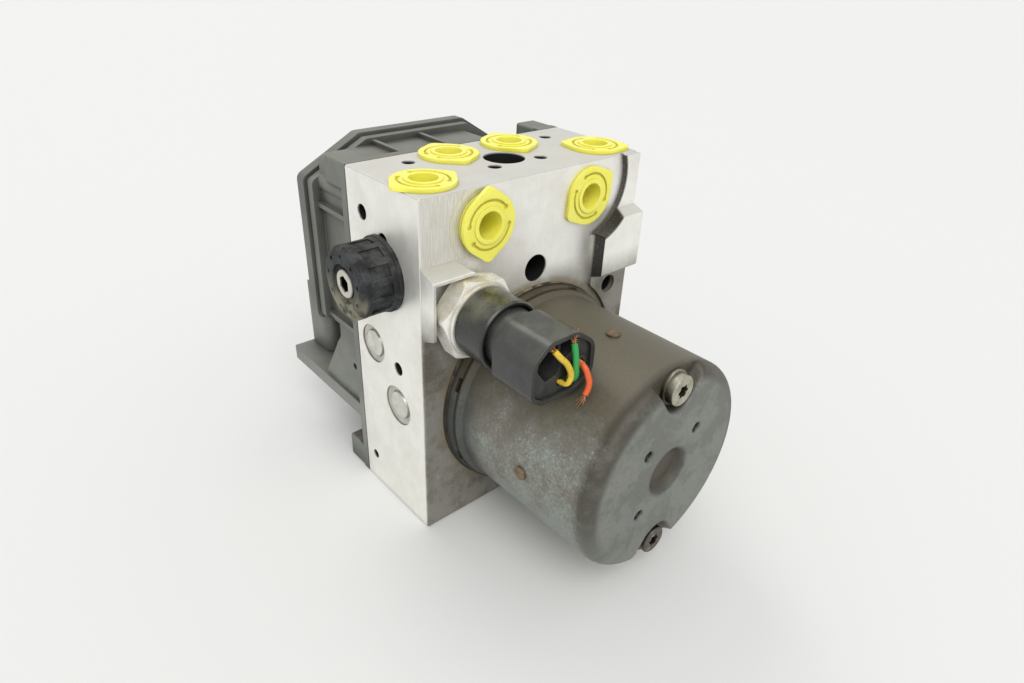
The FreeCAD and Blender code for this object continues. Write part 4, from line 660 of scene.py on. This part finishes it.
def canSkin(shape, inset):
    # profile (r, y) from the middle of the end, round the edge and along the wall, turned about the
    # motor's axis: x = r cos a, z = r sin a. The end is then pressed in to the pocket's floor
    # wherever the distance to the pocket's outline is negative, and further by the dish and the
    # drains. That outline is a circle round the screw, opened outwards by two straight lines.
    radius = shape["radius"] - inset
    edge = shape["edge"] - inset
    endPlane = shape["endPlane"] + inset
    openEnd = shape["openEnd"]
    turn = np.linspace(0, np.pi / 2, shape["edgeRings"])[1:]
    rimStart, rimCount = shape["rimRings"]
    flat = np.concatenate([np.linspace(*rings) for rings in shape["endRings"]]
                          + [np.linspace(rimStart, radius - edge, rimCount)])
    first, middle, last = shape["wallRings"]
    wall = np.concatenate([np.linspace(endPlane + edge + first[0], endPlane + first[1], first[2]),
                           np.linspace(endPlane + middle[0], openEnd - middle[1], middle[2]),
                           np.linspace(openEnd - last[0], openEnd, last[2])])
    r = np.concatenate([flat, radius - edge + edge * np.sin(turn), np.full(len(wall), radius)])
    y = np.concatenate([np.full(len(flat), endPlane), endPlane + edge * (1 - np.cos(turn)), wall])
    angle = np.linspace(0, 2 * np.pi, shape["columns"], endpoint=False)
    # the foot widens the wall towards the flange, except beside the sensor's hexagon
    sensorX, sensorZ, room = shape["fitting"]
    gap = np.hypot(radius * np.cos(angle) - sensorX, radius * np.sin(angle) - sensorZ) - room
    foot = shape["foot"] * smoothStep(*shape["footRoom"], gap) * (inset == 0)
    widening = 1 - smoothStep(*shape["footLength"], openEnd - y)
    r = r[:, None] + widening[:, None] * foot
    x = r * np.cos(angle)
    z = r * np.sin(angle)
    depth = np.broadcast_to(y[:, None], x.shape).copy()
    flare = math.radians(shape["flare"])
    pocket = shape["pocketRadius"] + inset
    out = np.abs(z) - shape["screwOut"]
    side = np.abs(x)
    outFrom, sideFrom = out + pocket * math.sin(flare), side - pocket * math.cos(flare)
    along = outFrom * math.cos(flare) + sideFrom * math.sin(flare)
    toLine = sideFrom * math.cos(flare) - outFrom * math.sin(flare)
    distance = np.where(along > 0, toLine, np.hypot(out, side) - pocket)
    floor = endPlane + shape["pocketDepth"]
    share = 1 - smoothStep(*shape["pocketLip"], distance)
    depth += np.maximum(floor - depth, 0) * share
    fromAxis = np.hypot(x, z)
    dish = 1 - smoothStep(shape["dishFloor"], shape["dishRadius"], fromAxis)
    depth += shape["dishDepth"] * dish * (fromAxis < shape["dishReach"])
    if inset == 0:
        low, high = (shape["drainRadius"] + lip for lip in shape["drainLip"])
        for drainX, drainZ in shape["drains"]:
            gap = np.hypot(x - drainX, z - drainZ)
            depth += shape["drainDepth"] * (1 - smoothStep(low, high, gap))
    return np.stack([x, depth, z + shape["axisHeight"]], -1) * mm


def motorCan(shape):
    outside = canSkin(shape, 0.0)
    inside = canSkin(shape, shape["wall"])
    return buildMesh("motorCan", [surfaceArrays(np.concatenate([outside, inside[::-1]]), True, True)])


addPiece("motorCan", motorCan(canShape), canMaterial, "module", "motor_coating", "motor_can")
print("motor can built")


# return springs: each drawn as a coil of wire in its part's box

springSettings = {
    "turns": 4, "steps": 40, "sides": 10,
    "springs": {
        "pumpSpringLeft": {"node": "pump_spring_left", "joint": "pump_stroke_left", "along": 0,
                           "seat": 0, "wire": 0.9, "travel": 2.0},
        "pumpSpringRight": {"node": "pump_spring_right", "joint": "pump_stroke_right", "along": 0,
                            "seat": 1, "wire": 0.9, "travel": 2.0},
        "accumulatorSpringLeft": {"node": "accumulator_spring_left",
                                  "joint": "accumulator_travel_left", "along": 2,
                                  "seat": 0, "wire": 1.26, "travel": 10.0},
        "accumulatorSpringRight": {"node": "accumulator_spring_right",
                                   "joint": "accumulator_travel_right", "along": 2,
                                   "seat": 0, "wire": 1.26, "travel": 10.0},
    },
}


def coilMesh(name, ends, spring, settings):
    # wire of radius w on a helix of radius R: p(a) = centre + R (cos a, sin a) across the axis, rising
    # evenly from end to end; each ring is p + w (outward cos b + side sin b), drawn in at both ends
    along = spring["along"]
    across = [(along + 1) % 3, (along + 2) % 3]
    wire = spring["wire"] * mm / 2
    angle = np.linspace(0, 2 * np.pi * settings["turns"], settings["turns"] * settings["steps"] + 1)
    outward = np.zeros((len(angle), 3))
    outward[:, across[0]] = np.cos(angle)
    outward[:, across[1]] = np.sin(angle)
    path = ends.mean(0) + ((ends[1] - ends[0])[across].min() / 2 - wire) * outward
    path[:, along] = np.linspace(ends[0][along] + wire, ends[1][along] - wire, len(angle))
    tangent = np.gradient(path, axis=0)
    side = np.cross(tangent / np.linalg.norm(tangent, axis=1, keepdims=True), outward)
    ring = np.linspace(0, 2 * np.pi, settings["sides"], endpoint=False)[None, :, None]
    thick = np.full((len(angle), 1, 1), wire)
    thick[[0, -1]] *= tipShare
    grid = path[:, None] + thick * (outward[:, None] * np.cos(ring) + side[:, None] * np.sin(ring))
    return buildMesh(name, [surfaceArrays(grid, True, True)])


for name, spring in springSettings["springs"].items():
    ends = np.array([list(corner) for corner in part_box(spring["node"])])
    along = spring["along"]
    seat = ends.mean(0)
    seat[along] = ends[spring["seat"]][along]
    piece = addPiece(name, coilMesh(name, ends, spring, springSettings), innerSteel, "module",
                     "inner_steel", spring["node"])
    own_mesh(piece)
print("springs built")


# cut wires: insulation tubes with their copper strands splayed at the ends

wireSettings = {
    "radius": 0.95, "sides": 20, "steps": 14, "capLength": 0.01,
    "dust": "#6E5A34", "dustSize": 0.6, "roughness": 0.38, "stripeEdge": 0.02,
    "wires": {
        "wireYellow": {
            "node": "wire_yellow", "slot": "yellow_insulation", "name": "yellowInsulation",
            "colour": "#DDBB38", "stripe": "#4A4226", "stripeFrom": 0.84, "strands": 9, "seed": 3,
            "fray": 0.6,
            "route": ((-31.2, -61.9, 83.2), (-31.2, -65.6, 83.2), (-30.7, -68.3, 83.6),
                      (-29.7, -68.6, 86.2), (-31.2, -68.2, 90.0), (-33.4, -67.6, 92.6),
                      (-34.9, -66.4, 94.8))},
        "wireGreen": {
            "node": "wire_green", "slot": "green_insulation", "name": "greenInsulation",
            "colour": "#1E9A4A", "stripe": "#CFC75C", "stripeFrom": 0.86, "strands": 16, "seed": 8,
            "fray": 1.0,
            "route": ((-27.5, -61.9, 83.0), (-27.5, -66.0, 83.0), (-27.7, -68.4, 84.6),
                      (-28.3, -68.9, 88.6), (-28.4, -68.4, 92.6), (-28.2, -67.4, 95.4))},
        "wireOrange": {
            "node": "wire_orange", "slot": "orange_insulation", "name": "orangeInsulation",
            "colour": "#E0612F", "stripe": "#F0A850", "stripeFrom": 0.66, "strands": 13, "seed": 5,
            "fray": 0.9,
            "route": ((-24.4, -61.9, 87.4), (-24.4, -66.3, 87.4), (-24.3, -69.0, 86.4),
                      (-23.9, -70.6, 83.0), (-24.4, -71.0, 80.6), (-25.4, -71.0, 78.8))},
    },
}


def insulation(wire, settings):
    # PVC insulation: two colours side by side, soft gloss, dulled by dust
    material, tree, shader, place = startMaterial(wire["name"], {"Roughness": settings["roughness"]})
    side = addNode(tree, "ShaderNodeAttribute", {"attribute_name": "around"}).outputs["Fac"]
    stripe = addNode(tree, "ShaderNodeMapRange", {
        "From Min": wire["stripeFrom"], "From Max": wire["stripeFrom"] + settings["stripeEdge"]},
        {"Value": side})
    dust = addNode(tree, "ShaderNodeTexNoise", {"Scale": 1 / (settings["dustSize"] * mm), "Detail": 4.0},
                   {"Vector": place}).outputs["Fac"]
    tone = addNode(tree, "ShaderNodeMixRGB", {"Color1": linear(wire["colour"]),
                                              "Color2": linear(wire["stripe"])},
                   {"Fac": stripe.outputs[0]}).outputs[0]
    dustMask = addNode(tree, "ShaderNodeMapRange", {"From Min": 0.5, "From Max": 0.7, "To Max": 0.35},
                       {"Value": dust}).outputs[0]
    tone = addNode(tree, "ShaderNodeMixRGB", {"Color2": linear(settings["dust"])},
                   {"Fac": dustMask, "Color1": tone}).outputs[0]
    tree.links.new(tone, shader.inputs["Base Color"])
    bump = addNode(tree, "ShaderNodeBump", {"Strength": 0.3, "Distance": 0.03 * mm}, {"Height": dust})
    tree.links.new(bump.outputs[0], shader.inputs["Normal"])
    return material


def wireMesh(name, route, settings):
    # tube along the smooth route, closed by a small cap at each end
    path = smoothPath(route, settings["steps"])
    caps = (path[1] - path[0]) * settings["capLength"], (path[-1] - path[-2]) * settings["capLength"]
    path = np.concatenate([[path[0] - caps[0]], path, [path[-1] + caps[1]]])
    width = np.full(len(path), settings["radius"])
    width[[0, -1]] = settings["radius"] * tipShare
    grid = tubeGrid(path, width, settings["sides"])
    return buildMesh(name, [surfaceArrays(grid * mm, True, True)]), path


def markAround(mesh, path):
    # "around" is the turn of each point about the wire, as a share of a full turn
    points = np.zeros(len(mesh.vertices) * 3)
    mesh.vertices.foreach_get("co", points)
    points = points.reshape(-1, 3) / mm
    nearest = np.argmin(((points[:, None] - path[None]) ** 2).sum(-1), 1)
    side, other = pathSides(path)
    away = points - path[nearest]
    turn = np.arctan2((away * other[nearest]).sum(1), (away * side[nearest]).sum(1))
    layer = mesh.attributes.new("around", "FLOAT", "POINT")
    layer.data.foreach_set("value", (turn / (2 * np.pi) % 1).astype(np.float32))


# scatter: spread of the strands' starts, of their directions and of their bend, cut off at the
# widest; rooted: how far they start inside the insulation, as a share of their length
strandSettings = {"radius": 0.10, "length": (1.6, 3.2), "scatter": (0.26, 0.30, 0.42), "widest": 1.6,
                  "rooted": -0.3, "steps": 14, "sides": 6, "tip": 0.2}


def strandMesh(name, tip, direction, wire, settings):
    # strand k runs from the tip along direction + a spread vector, bent by a second one:
    # p(t) = tip + start + L (t d + t^2 b)
    random = np.random.default_rng(wire["seed"])
    count, fray = wire["strands"], wire["fray"]
    widest, steps = settings["widest"], settings["steps"]
    direction = direction / np.linalg.norm(direction)
    start, spread, bend = (np.clip(random.normal(0, 1, (count, 1, 3)), -widest, widest) * width
                           for width in settings["scatter"])
    start -= (start @ direction)[..., None] * direction
    length = random.uniform(*settings["length"], (count, 1, 1)) * fray
    t = np.linspace(settings["rooted"], 1, steps)[None, :, None]
    paths = tip + start + length * (t * (direction + spread * fray) + t * t * bend)
    thick = np.full(steps, settings["radius"])
    thick[[0, -1]] *= settings["tip"]
    grids = [tubeGrid(path, thick, settings["sides"]) * mm for path in paths]
    return buildMesh(name, [surfaceArrays(grid, True, True) for grid in grids])


for name, wire in wireSettings["wires"].items():
    mesh, path = wireMesh(name, wire["route"], wireSettings)
    markAround(mesh, path)
    addPiece(name, mesh, insulation(wire, wireSettings), "module", wire["slot"], wire["node"])
    strands = strandMesh(name + "Strands", path[-1], path[-3] - path[-6], wire, strandSettings)
    addPiece(name + "Strands", strands, copper, "module", "copper_winding")
print("wires and strands built")


# pale studio: floor, even sky and two broad soft lamps

studio = {
    "floor": "#DEDEDC", "floorHalf": 30.0, "floorDrop": 0.0002, "sky": 0.78,
    "lamps": ({"name": "softLamp", "power": 1.40, "tilt": (34, -24, 0), "softness": 40},
              {"name": "backLamp", "power": 0.45, "tilt": (-40, 8, 0), "softness": 24}),
}


def addStudio(settings):
    half = settings["floorHalf"]
    mesh = bpy.data.meshes.new("floor")
    corners = [(-half, -half, 0), (half, -half, 0), (half, half, 0), (-half, half, 0)]
    mesh.from_pydata(corners, [], [(0, 1, 2, 3)])
    floor = bpy.data.objects.new("floor", mesh)
    bpy.context.scene.collection.objects.link(floor)
    # matt painted board: pale, next to no reflection
    mesh.materials.append(startMaterial("paintedBoard", {
        "Base Color": linear(settings["floor"]), "Roughness": 0.7, "Specular IOR Level": 0.2})[0])
    floor.location.z = -settings["floorDrop"]
    world = bpy.data.worlds.new("studio")
    bpy.context.scene.world = world
    world.use_nodes = True
    tree = world.node_tree
    tree.nodes.clear()
    ray = addNode(tree, "ShaderNodeLightPath").outputs
    seen = addNode(tree, "ShaderNodeMath", {"operation": "MAXIMUM"},
                   {0: ray["Is Camera Ray"], 1: ray["Is Transmission Ray"]}).outputs[0]
    # white where the camera sees it, dimmer as a light
    level = addNode(tree, "ShaderNodeMapRange", {"To Min": settings["sky"], "To Max": 1.0},
                    {"Value": seen}).outputs[0]
    background = addNode(tree, "ShaderNodeBackground", {"Color": (1, 1, 1, 1)}, {"Strength": level})
    addNode(tree, "ShaderNodeOutputWorld", links={"Surface": background.outputs[0]})
    for lamp in settings["lamps"]:
        data = bpy.data.lights.new(lamp["name"], "SUN")
        data.energy = lamp["power"]
        data.angle = math.radians(lamp["softness"])
        light = bpy.data.objects.new(lamp["name"], data)
        light.rotation_euler = [math.radians(angle) for angle in lamp["tilt"]]
        bpy.context.scene.collection.objects.link(light)


addStudio(studio)
bpy.context.scene.view_settings.view_transform = "Standard"
print("studio set")
